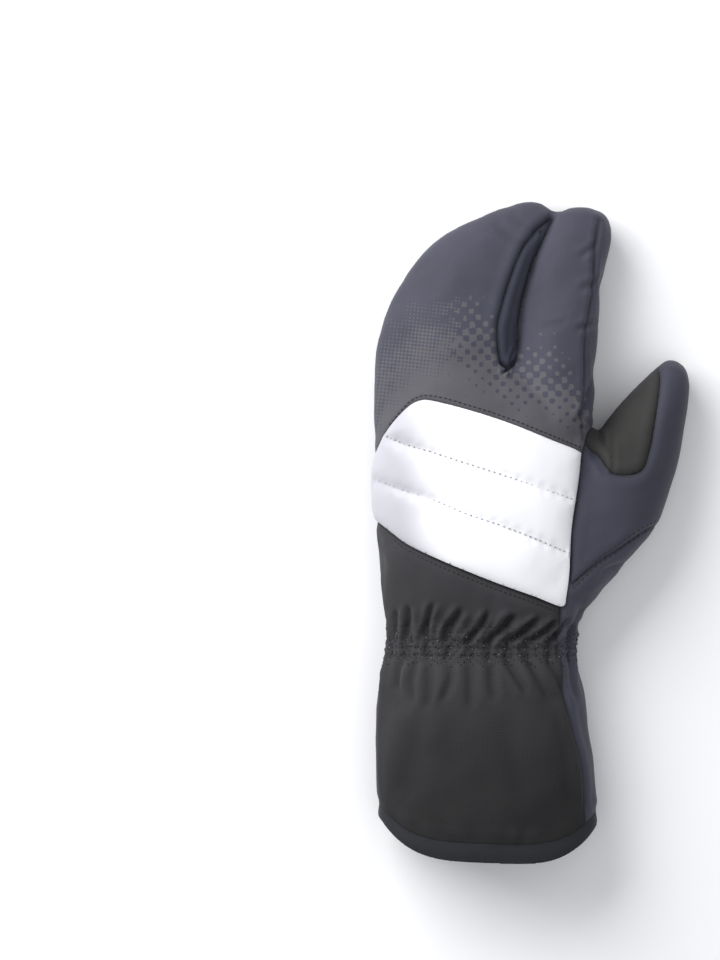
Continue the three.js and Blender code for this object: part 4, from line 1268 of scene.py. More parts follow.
class Canvas(NamedTuple):
    """A material while it is drawn: its tree, its shader and its Object coordinates."""

    tree: bpy.types.NodeTree
    shader: Any
    place: Any

    def paint(self, colour: Any, factor: Any) -> None:
        """Gives the shader a colour, made lighter and darker by a factor."""
        mixed = add(self.tree, "Mix", {0: 1.0, 6: colour, 7: factor}, data_type="RGBA", blend_type="MULTIPLY")
        self.tree.links.new(mixed.outputs[2], self.shader.inputs["Base Color"])

    def emboss(self, height: Any, strength: float, depth: float) -> None:
        """Gives the shader's surface a relief of a depth in mm."""
        bump = add(self.tree, "Bump", {"Height": height, "Strength": strength, "Distance": depth * MM})
        self.tree.links.new(bump.outputs[0], self.shader.inputs["Normal"])

    def tone_and_fold_shading(self, colour: Any, spread: float) -> None:
        """Paints a colour with a soft uneven tone, darker near seams, with painted shade in folds and painted
        light on raised cloth.

        Args:
            colour: the colour, or an output that gives it.
            spread: how much lighter and darker it gets.
        """
        tree = self.tree
        patch = add(tree, "TexNoise", {"Vector": self.place, "Scale": 38.0, "Detail": 4.0, "Roughness": 0.6})
        seam, fold = (add(tree, "Attribute", attribute_name=name).outputs["Fac"] for name in ("seam", "fold"))
        light = add(tree, "MapRange", {"Value": patch, 1: 0.3, 2: 0.7, 3: 1 - spread, 4: 1 + spread})
        # Darker within 1.6 mm of a seam.
        near_seam = add(tree, "MapRange", {"Value": seam, 1: 0.0, 2: 1.6, 3: 0.72, 4: 1.0},
                   interpolation_type="SMOOTHSTEP")
        # Painted shade in the cloth's hollows and painted light on its raised parts, from the fold mark.
        deep = add(tree, "MapRange", {"Value": fold, 1: -0.3, 2: 0.9, 3: 1.08, 4: 0.62})
        first = add(tree, "Math", {0: light, 1: near_seam}, operation="MULTIPLY")
        self.paint(colour, add(tree, "Math", {0: first, 1: deep}, operation="MULTIPLY"))


@dataclass(frozen=True)
class Finish:
    """A finish of the mitt: what its surface is made of and how it was made."""

    name: str
    colour: str
    roughness: float = 0.8
    sheen: float = 0.0
    coat: float = 0.0
    specular: float = 0.5

    def build(self) -> bpy.types.Material:
        """Makes the finish's material, or finds the one that was made before.

        Returns:
            The material.
        """
        known = bpy.data.materials.get(self.name)
        if known:
            return known
        made = bpy.data.materials.new(self.name)
        made.use_nodes = True
        made.diffuse_color = linear(self.colour)
        tree = made.node_tree
        tree.nodes.clear()
        shader = add(tree, "BsdfPrincipled", {
            "Base Color": linear(self.colour), "Roughness": self.roughness, "Sheen Weight": self.sheen,
            "Sheen Roughness": 0.45, "Coat Weight": self.coat, "Coat Roughness": 0.35,
            "Specular IOR Level": self.specular,
        })
        add(tree, "OutputMaterial", {"Surface": shader}).is_active_output = True
        self.draw(Canvas(tree, shader, add(tree, "TexCoord").outputs["Object"]))
        return made

    def draw(self, canvas: Canvas) -> None:
        """Draws the finish's own pattern onto its canvas."""


@dataclass(frozen=True)
class WovenCloth(Finish):
    """Polyester cloth, woven or knitted stretch: a dull face whose threads show as a fine grain of lines."""

    thread: float = 0.75
    lean: float = 0.0
    relief: float = 0.10
    contrast: float = 0.10

    def draw(self, canvas: Canvas) -> None:
        """Draws the threads along and across the cloth, fading out on steep faces.

        Args:
            canvas: the material.
        """
        tree, _, place = canvas
        turned = add(tree, "Mapping", {"Vector": place, "Rotation": (0, 0, self.lean)})
        warp, weft = (add(tree, "TexWave", {"Vector": turned, "Scale": WAVE_TURN / (self.thread * MM),
                                            "Distortion": 0.6, "Detail": 2.0, "Detail Scale": 2.0},
                          bands_direction=way).outputs["Fac"] for way in "XY")
        fuzz = add(tree, "TexNoise", {"Vector": place, "Scale": 2600.0, "Detail": 2.0})
        threads = add(tree, "Math", {0: warp, 1: weft}, operation="MULTIPLY")
        split = add(tree, "SeparateXYZ", {0: add(tree, "NewGeometry").outputs["Normal"]})
        level = add(tree, "Math", {0: split.outputs[2]}, operation="ABSOLUTE")
        flat = add(tree, "MapRange", {"Value": level, 1: 0.35, 2: 0.75})
        weave = add(tree, "Mix", {0: flat, 2: 0.3, 3: threads}, data_type="FLOAT")
        rough = add(tree, "Math", {0: fuzz, 1: 0.7, 2: weave}, operation="MULTIPLY_ADD")
        shade = add(tree, "MapRange", {"Value": rough, 1: 0.2, 2: 1.1,
                                       3: 1 - self.contrast, 4: 1 + self.contrast})
        base = add(tree, "Mix", {0: 1.0, 6: self.ground(tree, place), 7: shade}, data_type="RGBA",
                   blend_type="MULTIPLY")
        canvas.tone_and_fold_shading(base.outputs[2], 0.06)
        canvas.emboss(rough, 0.5, self.relief)

    def ground(self, tree: bpy.types.NodeTree, place: Any) -> Any:
        """Gives the cloth's dyed colour."""
        return linear(self.colour)


@dataclass(frozen=True)
class CuffCloth(WovenCloth):
    """The same stretch cloth on the cuff, with painted shade that darkens it from the wrist towards the hem,
    where less light falls.
    """

    # deep is the colour of the painted shade at the hem; start and end say where it darkens, in mm along the
    # hand.
    deep: str = "#232324"
    start: float = -56.0
    end: float = -125.0

    def ground(self, tree: bpy.types.NodeTree, place: Any) -> Any:
        """Gives the cloth's colour at the wrist's elastic zone, darkened by painted shade towards the hem.

        Args:
            tree: the material's tree.
            place: its coordinates.

        Returns:
            The output that gives the colour.
        """
        split = add(tree, "SeparateXYZ", {0: place})
        # Painted shade: the colour darkens from the wrist towards the hem.
        down = add(tree, "MapRange", {"Value": split.outputs[1], 1: self.start * MM, 2: self.end * MM})
        return add(tree, "Mix", {0: down, 6: linear(self.colour), 7: linear(self.deep)},
                   data_type="RGBA").outputs[2]


@dataclass(frozen=True)
class PrintedSoftshell(WovenCloth):
    """Softshell with a grey halftone print that dissolves into dots over the knuckles."""

    ink: str = "#525156"
    fine: float = 1.65
    coarse: float = 4.4
    fine_turn: float = 0.12
    coarse_turn: float = 0.72

    def ground(self, tree: bpy.types.NodeTree, place: Any) -> Any:
        """Gives navy where the cloth is bare and grey where it is printed.

        Args:
            tree: the material's tree.
            place: its coordinates.

        Returns:
            The output that gives the colour.
        """
        cover, zone = (add(tree, "Attribute", attribute_name=name).outputs["Fac"]
                       for name in ("print", "coarse"))
        screens = []
        for pitch, turn in ((self.fine, self.fine_turn), (self.coarse, self.coarse_turn)):
            scale = 2 * math.pi / (pitch * MM)
            grid = add(tree, "Mapping", {"Vector": place, "Rotation": (0, 0, turn),
                                         "Scale": (scale, scale, scale)})
            split = add(tree, "SeparateXYZ", {0: grid})
            u, v = (add(tree, "Math", {0: split.outputs[axis]}, operation="COSINE") for axis in range(2))
            both = add(tree, "Math", {0: u, 1: v}, operation="ADD")
            screens.append(add(tree, "Math", {0: both, 1: 0.25, 2: 0.5}, operation="MULTIPLY_ADD"))
        screen = add(tree, "Mix", {0: zone, 2: screens[0], 3: screens[1]}, data_type="FLOAT")
        cloud = add(tree, "TexNoise", {"Vector": place, "Scale": 170.0, "Detail": 1.0})
        uneven = add(tree, "MapRange", {"Value": cloud, 1: 0.3, 2: 0.7, 3: -0.16, 4: 0.16})
        dots = add(tree, "Math", {0: screen, 1: uneven})
        level = add(tree, "Math", {0: cover, 1: 1.30, 2: dots}, operation="MULTIPLY_ADD")
        mask = add(tree, "MapRange", {"Value": level, 1: 1.10, 2: 1.22})
        return add(tree, "Mix", {0: mask, 6: linear(self.colour), 7: linear(self.ink)},
                   data_type="RGBA").outputs[2]


@dataclass(frozen=True)
class Leather(Finish):
    """Synthetic leather, embossed with fine ribs or a pebble grain, with a satin skin."""

    rib: float = 1.2
    ribs: float = 1.0
    grain: float = 0.9
    relief: float = 0.16

    def draw(self, canvas: Canvas) -> None:
        """Draws the embossed ribs along the hand and the grain between them.

        Args:
            canvas: the material.
        """
        tree, shader, place = canvas
        scale = WAVE_TURN / (self.rib * MM)
        lines = add(tree, "TexWave", {"Vector": place, "Scale": scale, "Distortion": 0.5, "Detail": 1.0,
                                      "Detail Scale": 0.4}, bands_direction="X")
        cells = add(tree, "TexVoronoi", {"Vector": place, "Scale": 1 / (self.grain * MM)},
                    feature="DISTANCE_TO_EDGE")
        pores = add(tree, "TexNoise", {"Vector": place, "Scale": 700.0, "Detail": 3.0})
        ribbed = add(tree, "Math", {0: lines.outputs["Fac"], 1: self.ribs, 2: cells},
                     operation="MULTIPLY_ADD")
        height = add(tree, "Math", {0: pores, 1: 0.5, 2: ribbed}, operation="MULTIPLY_ADD")
        canvas.tone_and_fold_shading(linear(self.colour), 0.08)
        canvas.emboss(height, 0.6, self.relief)
        shine = add(tree, "MapRange", {"Value": pores, 3: self.roughness - 0.08, 4: self.roughness + 0.10})
        tree.links.new(shine.outputs[0], shader.inputs["Roughness"])


@dataclass(frozen=True)
class ReflectiveFilm(Finish):
    """Glass-bead film on padded cloth: nearly white, satin, with a faint grain, greyer needle lines and
    painted shade on its end beside the little finger.
    """

    # The shade colour is painted shade on the end beside the little finger; start and end say where it fades
    # out, in mm across the hand.
    shade: str = "#b3b3ba"
    start: float = -62.0
    end: float = -37.0

    def draw(self, canvas: Canvas) -> None:
        """Draws the beads' grain, the grey along the quilting and painted shade on the end beside the little
        finger, where the film turns away from the light.

        Args:
            canvas: the material.
        """
        tree, _, place = canvas
        beads = add(tree, "TexNoise", {"Vector": place, "Scale": 1800.0, "Detail": 2.0})
        quilt = add(tree, "Attribute", attribute_name="quilt").outputs["Fac"]
        cloud = add(tree, "TexNoise", {"Vector": place, "Scale": 22.0, "Detail": 2.0})
        near = add(tree, "MapRange", {"Value": quilt, 1: 0.0, 2: 1.3, 3: 0.90, 4: 1.0},
                   interpolation_type="SMOOTHSTEP")
        soft = add(tree, "MapRange", {"Value": cloud, 1: 0.3, 2: 0.7, 3: 0.97, 4: 1.0})
        total = add(tree, "Math", {0: near, 1: soft}, operation="MULTIPLY")
        across = add(tree, "SeparateXYZ", {0: place})
        # Painted shade: the film greys towards its end beside the little finger.
        left = add(tree, "MapRange", {"Value": across, 1: self.start * MM, 2: self.end * MM},
                   interpolation_type="SMOOTHSTEP")
        shaded_end = add(tree, "Mix", {0: left, 6: linear(self.shade), 7: linear(self.colour)}, data_type="RGBA")
        canvas.paint(shaded_end.outputs[2], total)
        canvas.emboss(beads, 0.12, 0.05)


@dataclass(frozen=True)
class Fleece(Finish):
    """Brushed fleece lining: deep, dull and tufted."""

    def draw(self, canvas: Canvas) -> None:
        """Draws the tufts.

        Args:
            canvas: the material.
        """
        tree, _, place = canvas
        tufts = add(tree, "TexNoise", {"Vector": place, "Scale": 420.0, "Detail": 5.0, "Roughness": 0.7})
        ramp = add(tree, "MapRange", {"Value": tufts, 1: 0.25, 2: 0.75, 3: 0.6, 4: 1.3})
        canvas.paint(linear(self.colour), ramp)
        canvas.emboss(tufts, 0.8, 0.6)


@dataclass(frozen=True)
class Thread(Finish):
    """Twisted polyester sewing thread: a slight gleam broken by its twist."""

    def draw(self, canvas: Canvas) -> None:
        """Draws the twist's light and dark strands.

        Args:
            canvas: the material.
        """
        tree, _, place = canvas
        twist = add(tree, "TexWave", {"Vector": place, "Scale": 160.0, "Distortion": 1.0},
                    bands_direction="DIAGONAL")
        ramp = add(tree, "MapRange", {"Value": twist.outputs["Fac"], 3: 0.75, 4: 1.25})
        canvas.paint(linear(self.colour), ramp)


@dataclass(frozen=True)
class StudioPaper(Finish):
    """Seamless paper backdrop: matt, with fibres too fine to see but for a faint unevenness."""

    def draw(self, canvas: Canvas) -> None:
        """Draws the fibres' faint unevenness."""
        fibres = add(canvas.tree, "TexNoise", {"Vector": canvas.place, "Scale": 60.0, "Detail": 3.0})
        canvas.paint(linear(self.colour), add(canvas.tree, "MapRange", {"Value": fibres, 3: 0.985, 4: 1.0}))


# Woven softshell looks matt and bluish, with a faint sheen where it turns away.
NAVY = WovenCloth("softshell_woven_navy", "#383945", 0.72, sheen=0.08, specular=0.3, thread=0.8,
                  relief=0.07, contrast=0.07)
PRINTED = PrintedSoftshell("softshell_woven_navy_printed", "#3d3d4a", 0.72, sheen=0.08, specular=0.3,
                           thread=0.8, relief=0.07, contrast=0.07)
GUSSET_CLOTH = WovenCloth("softshell_woven_navy_dark", "#3a3c49", 0.78, sheen=0.05, specular=0.25, thread=0.8,
                          lean=0.9, relief=0.08, contrast=0.10)
# Stretch cloth looks duller and more open, so its threads are drawn coarser than they are.
CHARCOAL = CuffCloth("stretch_cloth_woven_charcoal", "#323134", 0.85, sheen=0.05, specular=0.25, thread=1.15,
                     lean=0.04, relief=0.12, contrast=0.16)
BAND_CLOTH = WovenCloth("stretch_cloth_knitted_charcoal", "#343336", 0.85, sheen=0.06, specular=0.25,
                        thread=1.0, lean=0.5, relief=0.12, contrast=0.14)
WEDGE_CLOTH = WovenCloth("stretch_cloth_woven_black", "#353433", 0.85, sheen=0.05, specular=0.25, thread=1.1,
                         lean=0.5, relief=0.12, contrast=0.12)
# Folded tape looks flat and dense.
BINDING = WovenCloth("binding_tape_woven_navy", "#1d1f24", 0.75, sheen=0.05, specular=0.3, thread=0.9,
                     relief=0.08, contrast=0.08)
# Embossed leather glints along its ribs, and the smooth one has a broad satin gleam.
RIBBED = Leather("synthetic_leather_ribbed_black", "#343437", 0.48, coat=0.10, rib=1.25, ribs=1.0)
SMOOTH = Leather("synthetic_leather_smooth_black", "#2b2b2f", 0.42, coat=0.15, ribs=0.0, grain=1.1,
                 relief=0.08)
# Glass beads under a clear film look nearly white from any side.
FILM = ReflectiveFilm("reflective_film_beaded", "#f4f4f7", 0.42, coat=0.12)
# Brushed fleece swallows the light inside the cuff.
LINING = Fleece("fleece_lining_brushed", "#26262a", 0.95, sheen=0.2, specular=0.1)
# Twisted thread shows as short, slightly shiny marks.
BLACK_THREAD = Thread("polyester_thread_black", "#0d0d10", 0.5)
GREY_THREAD = Thread("polyester_thread_grey", "#9b9ca2", 0.55)
# Painted glints: light grey thread stands for the glints on the elastic's black stitches.
GLINT_THREAD = Thread("polyester_thread_painted_glint", "#55555a", 0.55)
# Matt paper gives a floor without reflections.
PAPER = StudioPaper("studio_paper_white", "#f7f7f8", 0.9, specular=0.1)


def dress(piece: bpy.types.Object, finishes: tuple[Finish, ...], slot: str, *nodes: str) -> bpy.types.Object:
    """Gives a piece its finishes and its place in the model.

    Args:
        piece: the finished mesh.
        finishes: the finishes of its material slots.
        slot: not used.
        nodes: the CAD nodes that it replaces.

    Returns:
        The piece.
    """
    piece.data.materials.clear()
    for finish in finishes:
        piece.data.materials.append(finish.build())
    if nodes:
        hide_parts(*nodes)
    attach(piece, BODY)
    return piece


@dataclass(frozen=True)
class Assembly:
    """A sub-assembly of panels with walls of one thickness in mm."""

    wall: float = 3.3

    def panel(self, tailor: Tailor, name: str, node: str, slot: str, outer: Finish, inner: Finish = LINING,
              **shape: Any) -> bpy.types.Object:
        """Makes one panel and dresses it.

        Args:
            tailor: makes the shell.
            name: the piece's name.
            node: the CAD node that it stands for, and its triangles' name.
            slot: the record's material slot.
            outer: the finish of its outside.
            inner: the finish of its inner side.
            shape: what sets its shell apart from a plain one.

        Returns:
            The dressed piece.
        """
        made = tailor.shell(name, **{"group": node, "wall": self.wall, **shape})
        return dress(made, (outer, inner), slot, node)


@dataclass(frozen=True)
class Cuff(Assembly):
    """The long cuff and the tape around its mouth."""

    wall: float = 2.4
    tape: float = 2.7
    lip: float = 0.3
    seam: float = 0.02

    def build(self, tailor: Tailor) -> list[bpy.types.Object]:
        """Makes the cuff's two cloths and its bound hem.

        Args:
            tailor: makes the shells.

        Returns:
            The dressed pieces.
        """
        return [
            self.panel(tailor, "cuff_back_cloth", "cuff_back", "cloth_charcoal", CHARCOAL, gap=self.seam),
            self.panel(tailor, "cuff_palm_cloth", "cuff_palm", "softshell_navy", NAVY, gap=self.seam),
            self.panel(tailor, "hem_tape", "hem_binding", "binding_navy", BINDING, BINDING, wall=self.tape,
                       lip=self.lip),
        ]


@dataclass(frozen=True)
class Wrist(Assembly):
    """The shirred cloth over the wrist's elastic, charcoal on the back and navy round the palm."""

    wall: float = 2.3

    def build(self, tailor: Tailor) -> list[bpy.types.Object]:
        """Makes both halves of the gathered wrist.

        Args:
            tailor: makes the shells.

        Returns:
            The dressed pieces.
        """
        table = (("wrist_gather_back", "cloth_charcoal", BAND_CLOTH),
                 ("wrist_gather_palm", "softshell_navy", NAVY))
        return [self.panel(tailor, name, "wrist_gather", slot, finish, group=name, gap=0.0)
                for name, slot, finish in table]


@dataclass(frozen=True)
class Back(Assembly):
    """The back of the hand: softshell, the charcoal band and the quilted reflective panel."""

    fill: float = 0.55

    def build(self, tailor: Tailor) -> list[bpy.types.Object]:
        """Makes the back's shell, its band and its padded panel.

        Args:
            tailor: makes the shells.

        Returns:
            The dressed pieces.
        """
        made = [
            self.panel(tailor, "back_softshell", "back_shell", "softshell_navy", PRINTED),
            self.panel(tailor, "back_band_cloth", "back_band", "cloth_charcoal", BAND_CLOTH),
            self.panel(tailor, "compartment_gusset_cloth", "back_shell", "softshell_navy", GUSSET_CLOTH,
                       group="compartment_gusset"),
            self.panel(tailor, "reflective_quilted_panel", "reflective_panel", "reflective_film", FILM, FILM,
                       top=tailor.relief.panel + 0.5 * tailor.relief.calm),
        ]
        return made


@dataclass(frozen=True)
class Palm(Assembly):
    """The leather palm and its two raised pads."""

    fill: float = 0.7

    def build(self, tailor: Tailor) -> list[bpy.types.Object]:
        """Makes the palm's leather and the pads on it.

        Args:
            tailor: makes the shells.

        Returns:
            The dressed pieces.
        """
        made = [self.panel(tailor, "palm_ribbed_leather", "palm_leather", "leather_black", RIBBED)]
        for name in ("pad_fingers", "pad_heel"):
            made.append(self.panel(tailor, f"{name}_cushion", name, "leather_smooth", SMOOTH, SMOOTH,
                                   top=tailor.relief.pads))
        return made


@dataclass(frozen=True)
class Digits(Assembly):
    """The leathers under the index finger and the thumb, and the thumb's cloth and wedge."""

    wall: float = 3.2

    def build(self, tailor: Tailor) -> list[bpy.types.Object]:
        """Makes the finger's and the thumb's own panels.

        Args:
            tailor: makes the shells.

        Returns:
            The dressed pieces.
        """
        table = (
            ("index_ribbed_leather", "index_leather", "leather_black", RIBBED),
            ("index_tip_leather", "index_tip_patch", "leather_smooth", SMOOTH),
            ("thumb_ribbed_leather", "thumb_leather", "leather_black", RIBBED),
            ("thumb_tip_leather", "thumb_tip_patch", "leather_smooth", SMOOTH),
            ("thumb_softshell", "thumb_back", "softshell_navy", NAVY),
            ("thumb_wedge_cloth", "thumb_wedge", "cloth_charcoal", WEDGE_CLOTH),
        )
        return [self.panel(tailor, *row) for row in table]


class Seam(NamedTuple):
    """One row of stitches: its line in the row's frame with the way out of the cloth at each point."""

    places: np.ndarray
    outs: np.ndarray
    closed: bool = False


@dataclass(frozen=True)
class StitchSize:
    """How one kind of stitch is sewn, in mm.

    How far it is raised and how far it clears the floor are shares of its thread.
    """

    spacing: float = 2.6
    length: float = 1.9
    thread: float = 0.62
    lean: float = 0.05
    raised: float = 0.1
    clear: float = 0.45


@dataclass
class Needlework:
    """Lays rows of stitches onto the dressed mitt."""

    tailor: Tailor
    girth: float = 260.0
    jitter: float = 0.9
    flatness: float = 0.62
    away: float = 150.0
    steepest: float = 0.12
    tree: BVHTree = field(init=False)

    def __post_init__(self) -> None:
        """Gathers the outside of all the panels for the needle to meet."""
        relief = self.tailor.relief
        tops = {"reflective_panel": relief.panel, "pad_fingers": relief.pads, "pad_heel": relief.pads}
        start = 0
        places, faces = [], []
        for name, triangles in self.tailor.work.groups.items():
            used, flat = np.unique(triangles, return_inverse=True)
            places.append(self.tailor.outside(tops.get(name))[used])
            faces.append(flat.reshape(-1, 3) + start)
            start += len(used)
        self.tree = BVHTree.FromPolygons(np.vstack(places).tolist(), np.vstack(faces).tolist())

    def seam(self, hits: list[tuple[Vector, Vector]], closed: bool = False) -> Seam:
        """Makes a seam from the places that the needle met, with its outward way evened out.

        Args:
            hits: the places and the surface's normals there.
            closed: whether the row comes back to its start.

        Returns:
            The seam.
        """
        places = np.array([hit[0] for hit in hits])
        outs = np.array([hit[1] for hit in hits])
        for _ in range(3):
            if closed:
                outs = outs + np.roll(outs, 1, 0) + np.roll(outs, -1, 0)
            else:
                outs[1:-1] = outs[1:-1] + outs[2:] + outs[:-2]
            outs /= np.linalg.norm(outs, axis=1, keepdims=True)
        return Seam(places, outs, closed)

    def along(self, line: np.ndarray, side: Side, closed: bool = False) -> Seam:
        """Sews a row over a line that is drawn in plan.

        Args:
            line: the line's points.
            side: the side of the hand.
            closed: whether it comes back to its start.

        Returns:
            The seam.
        """
        hits = []
        for place in line:
            hit = dropped(self.tree, place, side)
            if hit[0] is not None and abs(hit[1].z) > self.steepest:
                hits.append((hit[0], hit[1] if hit[1].z * side.value > 0 else -hit[1]))
        return self.seam(hits, closed)

    def round_wrist(self, along: float, swing: float, pitch: float) -> Seam:
        """Sews a zigzag round the wrist's elastic.

        Args:
            along: how far above the hem it runs.
            swing: how far it swings to each side.
            pitch: the length of one zigzag.

        Returns:
            The seam.
        """
        ring = BODY_FORM.rings(np.array([along / MITT_LENGTH]), 360)[0]
        centre = ring.mean(0)
        count = int(self.girth / pitch) * 2
        chance = np.random.default_rng(int(along * 10))
        hits = []
        for i in range(count):
            angle = 2 * math.pi * i / count
            y = centre[1] + (swing if i % 2 else -swing) + chance.uniform(-self.jitter, self.jitter)
            way = Vector((math.cos(angle), 0, self.flatness * math.sin(angle))).normalized()
            hit = self.tree.ray_cast(Vector((centre[0], y, centre[2])) + way * self.away, -way)
            if hit[0] is not None:
                hits.append((hit[0], hit[1] if hit[1].dot(way) > 0 else -hit[1]))
        return self.seam(hits, True)

    def sew(self, name: str, seams: list[Seam], size: StitchSize, thread: Finish) -> bpy.types.Object:
        """Sews rows of stitches as one plain mesh.

        Args:
            name: the piece's name.
            seams: its rows.
            size: how they are sewn.
            thread: the thread's finish.

        Returns:
            The dressed stitches.
        """
        places = np.vstack([seam.places for seam in seams])
        outs = np.vstack([seam.outs for seam in seams])
        edges: list[tuple[int, int]] = []
        start = 0
        for seam in seams:
            count = len(seam.places)
            edges += [(start + i, start + i + 1) for i in range(count - 1)]
            if seam.closed:
                edges.append((start + count - 1, start))
            start += count
        places = places + outs * size.thread * size.raised
        places[:, 2] = np.maximum(places[:, 2], size.clear * size.thread)
        line = new_object(f"{name}_line", places, [], edges)
        line.data.attributes.new("way_out", "FLOAT_VECTOR", "POINT").data.foreach_set("vector", outs.ravel())
        rows = line.modifiers.new("Stitches", "NODES")
        rows.node_group = stitch_tree()
        values = {"Spacing": size.spacing * MM, "Length": size.length * MM, "Thread": size.thread * MM,
                  "Lean": size.lean, "Finish": thread.build()}
        for item in rows.node_group.interface.items_tree:
            if item.item_type == "SOCKET" and item.in_out == "INPUT" and item.name in values:
                rows[item.identifier] = values[item.name]
        mesh = evaluated(line)
        mesh.name = name
        bpy.data.objects.remove(line)
        piece = bpy.data.objects.new(name, mesh)
        bpy.context.scene.collection.objects.link(piece)
        return dress(piece, (thread,), "binding_navy")


def stitch_tree() -> bpy.types.NodeTree:
    """Makes the tree that sews stitches along a line, or finds the one that was made before.

    Returns:
        The tree.
    """
    known = bpy.data.node_groups.get("stitch_rows")
    if known:
        return known
    tree = bpy.data.node_groups.new("stitch_rows", "GeometryNodeTree")
    face = tree.interface
    face.new_socket("Line", in_out="INPUT", socket_type="NodeSocketGeometry")
    for name, value in (("Spacing", 0.0026), ("Length", 0.0019), ("Thread", 0.0006), ("Lean", 0.05)):
        face.new_socket(name, in_out="INPUT", socket_type="NodeSocketFloat").default_value = value
    face.new_socket("Finish", in_out="INPUT", socket_type="NodeSocketMaterial")
    face.new_socket("Stitches", in_out="OUTPUT", socket_type="NodeSocketGeometry")
    given = add(tree, "NodeGroupInput").outputs
    curve = add(tree, "GeometryNodeMeshToCurve", {"Mesh": given["Line"]})
    even = add(tree, "GeometryNodeResampleCurve", {"Curve": curve, "Length": given["Spacing"]}, mode="LENGTH")
    tangent = add(tree, "GeometryNodeInputTangent")
    way = add(tree, "GeometryNodeInputNamedAttribute", {"Name": "way_out"}, data_type="FLOAT_VECTOR")
    lying = add(tree, "FunctionNodeAlignRotationToVector", {"Vector": tangent}, axis="X")
    turned = add(tree, "FunctionNodeAlignRotationToVector", {"Rotation": lying, "Vector": way},
                 axis="Z", pivot_axis="X")
    less = add(tree, "Math", {0: given["Lean"], 1: -1.0}, operation="MULTIPLY")
    chance = add(tree, "FunctionNodeRandomValue", {"Min": less, "Max": given["Lean"], "Seed": 7},
                 data_type="FLOAT")
    lean = add(tree, "FunctionNodeAxisAngleToRotation", {"Axis": (0, 0, 1), "Angle": chance.outputs[1]})
    aim = add(tree, "FunctionNodeRotateRotation", {0: turned, 1: lean}, rotation_space="LOCAL")
    bead = add(tree, "GeometryNodeMeshIcoSphere", {"Radius": 0.5, "Subdivisions": 2})
    flat = add(tree, "Math", {0: given["Thread"], 1: 0.8}, operation="MULTIPLY")
    size = add(tree, "CombineXYZ", {0: given["Length"], 1: given["Thread"], 2: flat})
    placed = add(tree, "GeometryNodeInstanceOnPoints",
                 {"Points": even, "Instance": bead, "Rotation": aim, "Scale": size})
    real = add(tree, "GeometryNodeRealizeInstances", {0: placed})
    smooth = add(tree, "GeometryNodeSetShadeSmooth", {0: real})
    finish = add(tree, "GeometryNodeSetMaterial", {"Geometry": smooth, "Material": given["Finish"]})
    add(tree, "NodeGroupOutput", {0: finish})
    return tree


@dataclass(frozen=True)
class Stitching:
    """All the rows of stitches that show on the mitt.

    A row round the wrist has its place along the mitt, its swing and the length of one zigzag, in mm.
    """

    insets: tuple[float, ...] = (1.6, -1.2)
    thumb_shifts: tuple[tuple[float, float], ...] = ((-0.4, 1.5), (0.2, -1.0))
    elastic: tuple[tuple[float, float, float], ...] = (
        (91.4, 1.3, 5.4), (93.9, 1.2, 4.3), (96.3, 1.3, 4.8), (98.7, 1.2, 4.1), (101.1, 1.4, 4.6),
        (103.5, 1.3, 4.4))
    # Rows of light grey stitches that stand for painted glints on the elastic's black thread: place, swing
    # and zigzag length in mm.
    painted_glints: tuple[tuple[float, float, float], ...] = ((93.4, 1.6, 9.7), (98.0, 1.6, 9.7), (102.4, 1.6, 9.7))

    def closed_row(self, needle: Needlework, outline: Outline, inset: float, side: Side) -> Seam:
        """Sews a row inside or outside an outline.

        Args:
            needle: lays the row.
            outline: the outline's points.
            inset: how far inside it the row runs, in mm.
            side: the side of the hand.

        Returns:
            The seam.
        """
        line = drawn(outline, True)
        run = np.roll(line, -1, 0) - np.roll(line, 1, 0)
        normal = np.c_[-run[:, 1], run[:, 0]] / np.maximum(np.linalg.norm(run, axis=1, keepdims=True), 1e-9)
        area = 0.5 * np.sum(line[:, 0] * np.roll(line[:, 1], -1) - np.roll(line[:, 0], -1) * line[:, 1])
        return needle.along(line + normal * inset * math.copysign(1, area), side, True)

    def build(self, needle: Needlework) -> list[bpy.types.Object]:
        """Sews every row.

        Args:
            needle: lays and sews the rows.

        Returns:
            The dressed stitches.
        """
        quilt = [needle.along(drawn(line), Side.BACK) for line in QUILT_LINES]
        edges = [needle.along(drawn(line), Side.BACK) for line in (PANEL_TOP, PANEL_BOTTOM)]
        thumb = [needle.along(drawn(THUMB_SEAM) + shift, Side.BACK) for shift in self.thumb_shifts]
        pads = [self.closed_row(needle, outline, inset, Side.PALM)
                for outline in (PAD_FINGERS_OUTLINE, PAD_HEEL_OUTLINE) for inset in self.insets]
        hem = needle.along(drawn(PALM_HEM) + (0, 1.5), Side.PALM)
        elastic, painted_glints = ([needle.round_wrist(*row) for row in rows] for rows in (self.elastic, self.painted_glints))
        return [
            needle.sew("stitches_quilting", quilt, StitchSize(2.6, 1.15, 0.7, 0.2), GREY_THREAD),
            needle.sew("stitches_panel_edges", edges, StitchSize(2.3, 1.7, 0.6), BLACK_THREAD),
            needle.sew("stitches_thumb_seam", thumb, StitchSize(2.7, 1.8, 0.55), BLACK_THREAD),
            needle.sew("stitches_palm", [*pads, hem], StitchSize(2.6, 1.9, 0.6), BLACK_THREAD),
            needle.sew("stitches_elastic", elastic, StitchSize(2.4, 1.15, 0.66, 1.3), BLACK_THREAD),
            needle.sew("stitches_elastic_painted_glints", painted_glints, StitchSize(6.1, 0.9, 0.6, 1.3), GLINT_THREAD),
        ]


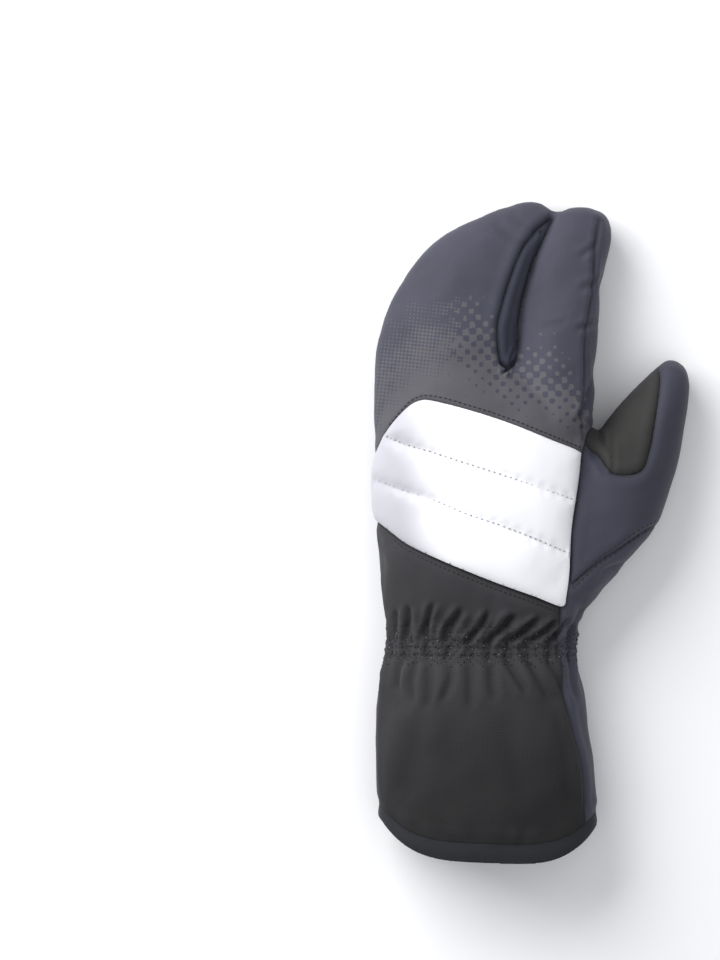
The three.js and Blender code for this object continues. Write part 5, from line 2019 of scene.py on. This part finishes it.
@dataclass(frozen=True)
class Studio:
    """A pale floor, soft light from the upper left and the camera at the photo's viewing angle.

    A lamp has its name, its place and its side in metres, and its power in watts.
    """

    distance: float = 2.6
    sensor: float = 36.0
    middle: float = 24.0
    reach: float = 2200.0
    air: float = 0.46
    lamps: tuple[tuple[str, tuple[float, float, float], float, float], ...] = (
        ("softbox_upper_left", (-0.70, 0.66, 0.66), 1.0, 18.5),
        ("softbox_overhead", (0.35, -0.25, 1.5), 1.6, 7.0))

    def build(self) -> None:
        """Makes the floor, the lights and the camera."""
        corners = np.array([(-1, -1, 0), (1, -1, 0), (1, 1, 0), (-1, 1, 0)]) * self.reach
        floor = new_object("studio_floor", corners, [(0, 1, 2, 3)])
        floor.data.materials.append(PAPER.build())
        world = bpy.data.worlds.new("studio_air")
        world.use_nodes = True
        back = world.node_tree.nodes["Background"]
        back.inputs["Color"].default_value = linear("#f4f6fb")
        back.inputs["Strength"].default_value = self.air
        scene = bpy.context.scene
        scene.world = world
        scene.view_settings.view_transform = "Standard"
        for lamp in self.lamps:
            self.light(*lamp)
        self.camera()

    def light(self, name: str, place: tuple[float, float, float], size: float, power: float) -> None:
        """Hangs a square softbox that faces the mitt.

        Args:
            name: its name.
            place: where it hangs, in metres.
            size: the length of its side.
            power: its power in watts.
        """
        lamp = bpy.data.lights.new(name, "AREA")
        lamp.size = size
        lamp.energy = power
        box = bpy.data.objects.new(name, lamp)
        box.location = place
        box.rotation_euler = (Vector((0, 0, 0.02)) - Vector(place)).to_track_quat("-Z", "Y").to_euler()
        bpy.context.scene.collection.objects.link(box)

    def camera(self) -> None:
        """Sets the camera over the middle of the photo's frame, looking straight down."""
        lens = bpy.data.cameras.new("camera")
        lens.sensor_fit = "VERTICAL"
        lens.sensor_height = self.sensor
        view = PHOTO_SIZE[1] * PIXEL * MM
        lens.lens = self.sensor * self.distance / view
        eye = bpy.data.objects.new("camera", lens)
        x, y = from_photo(PHOTO_SIZE[0] / 2, PHOTO_SIZE[1] / 2) * MM
        eye.location = (x, y, self.distance + self.middle * MM)
        bpy.context.scene.collection.objects.link(eye)
        bpy.context.scene.camera = eye


def main() -> None:
    """Builds the mitt's sub-assemblies in order, reports each piece and builds the studio."""
    logging.basicConfig(level=logging.INFO, format="%(message)s")
    skin = SkinMaker().build()
    work = Cutter().build(skin)
    tailor = Tailor(work, Relief(skin, work))
    pieces = [piece for part in (Cuff(), Wrist(), Back(), Palm(), Digits()) for piece in part.build(tailor)]
    for piece in pieces + Stitching().build(Needlework(tailor)):
        LOG.info("%s: %d faces", piece.name, len(piece.data.polygons))
    Studio().build()


if __name__ == "__main__":
    main()
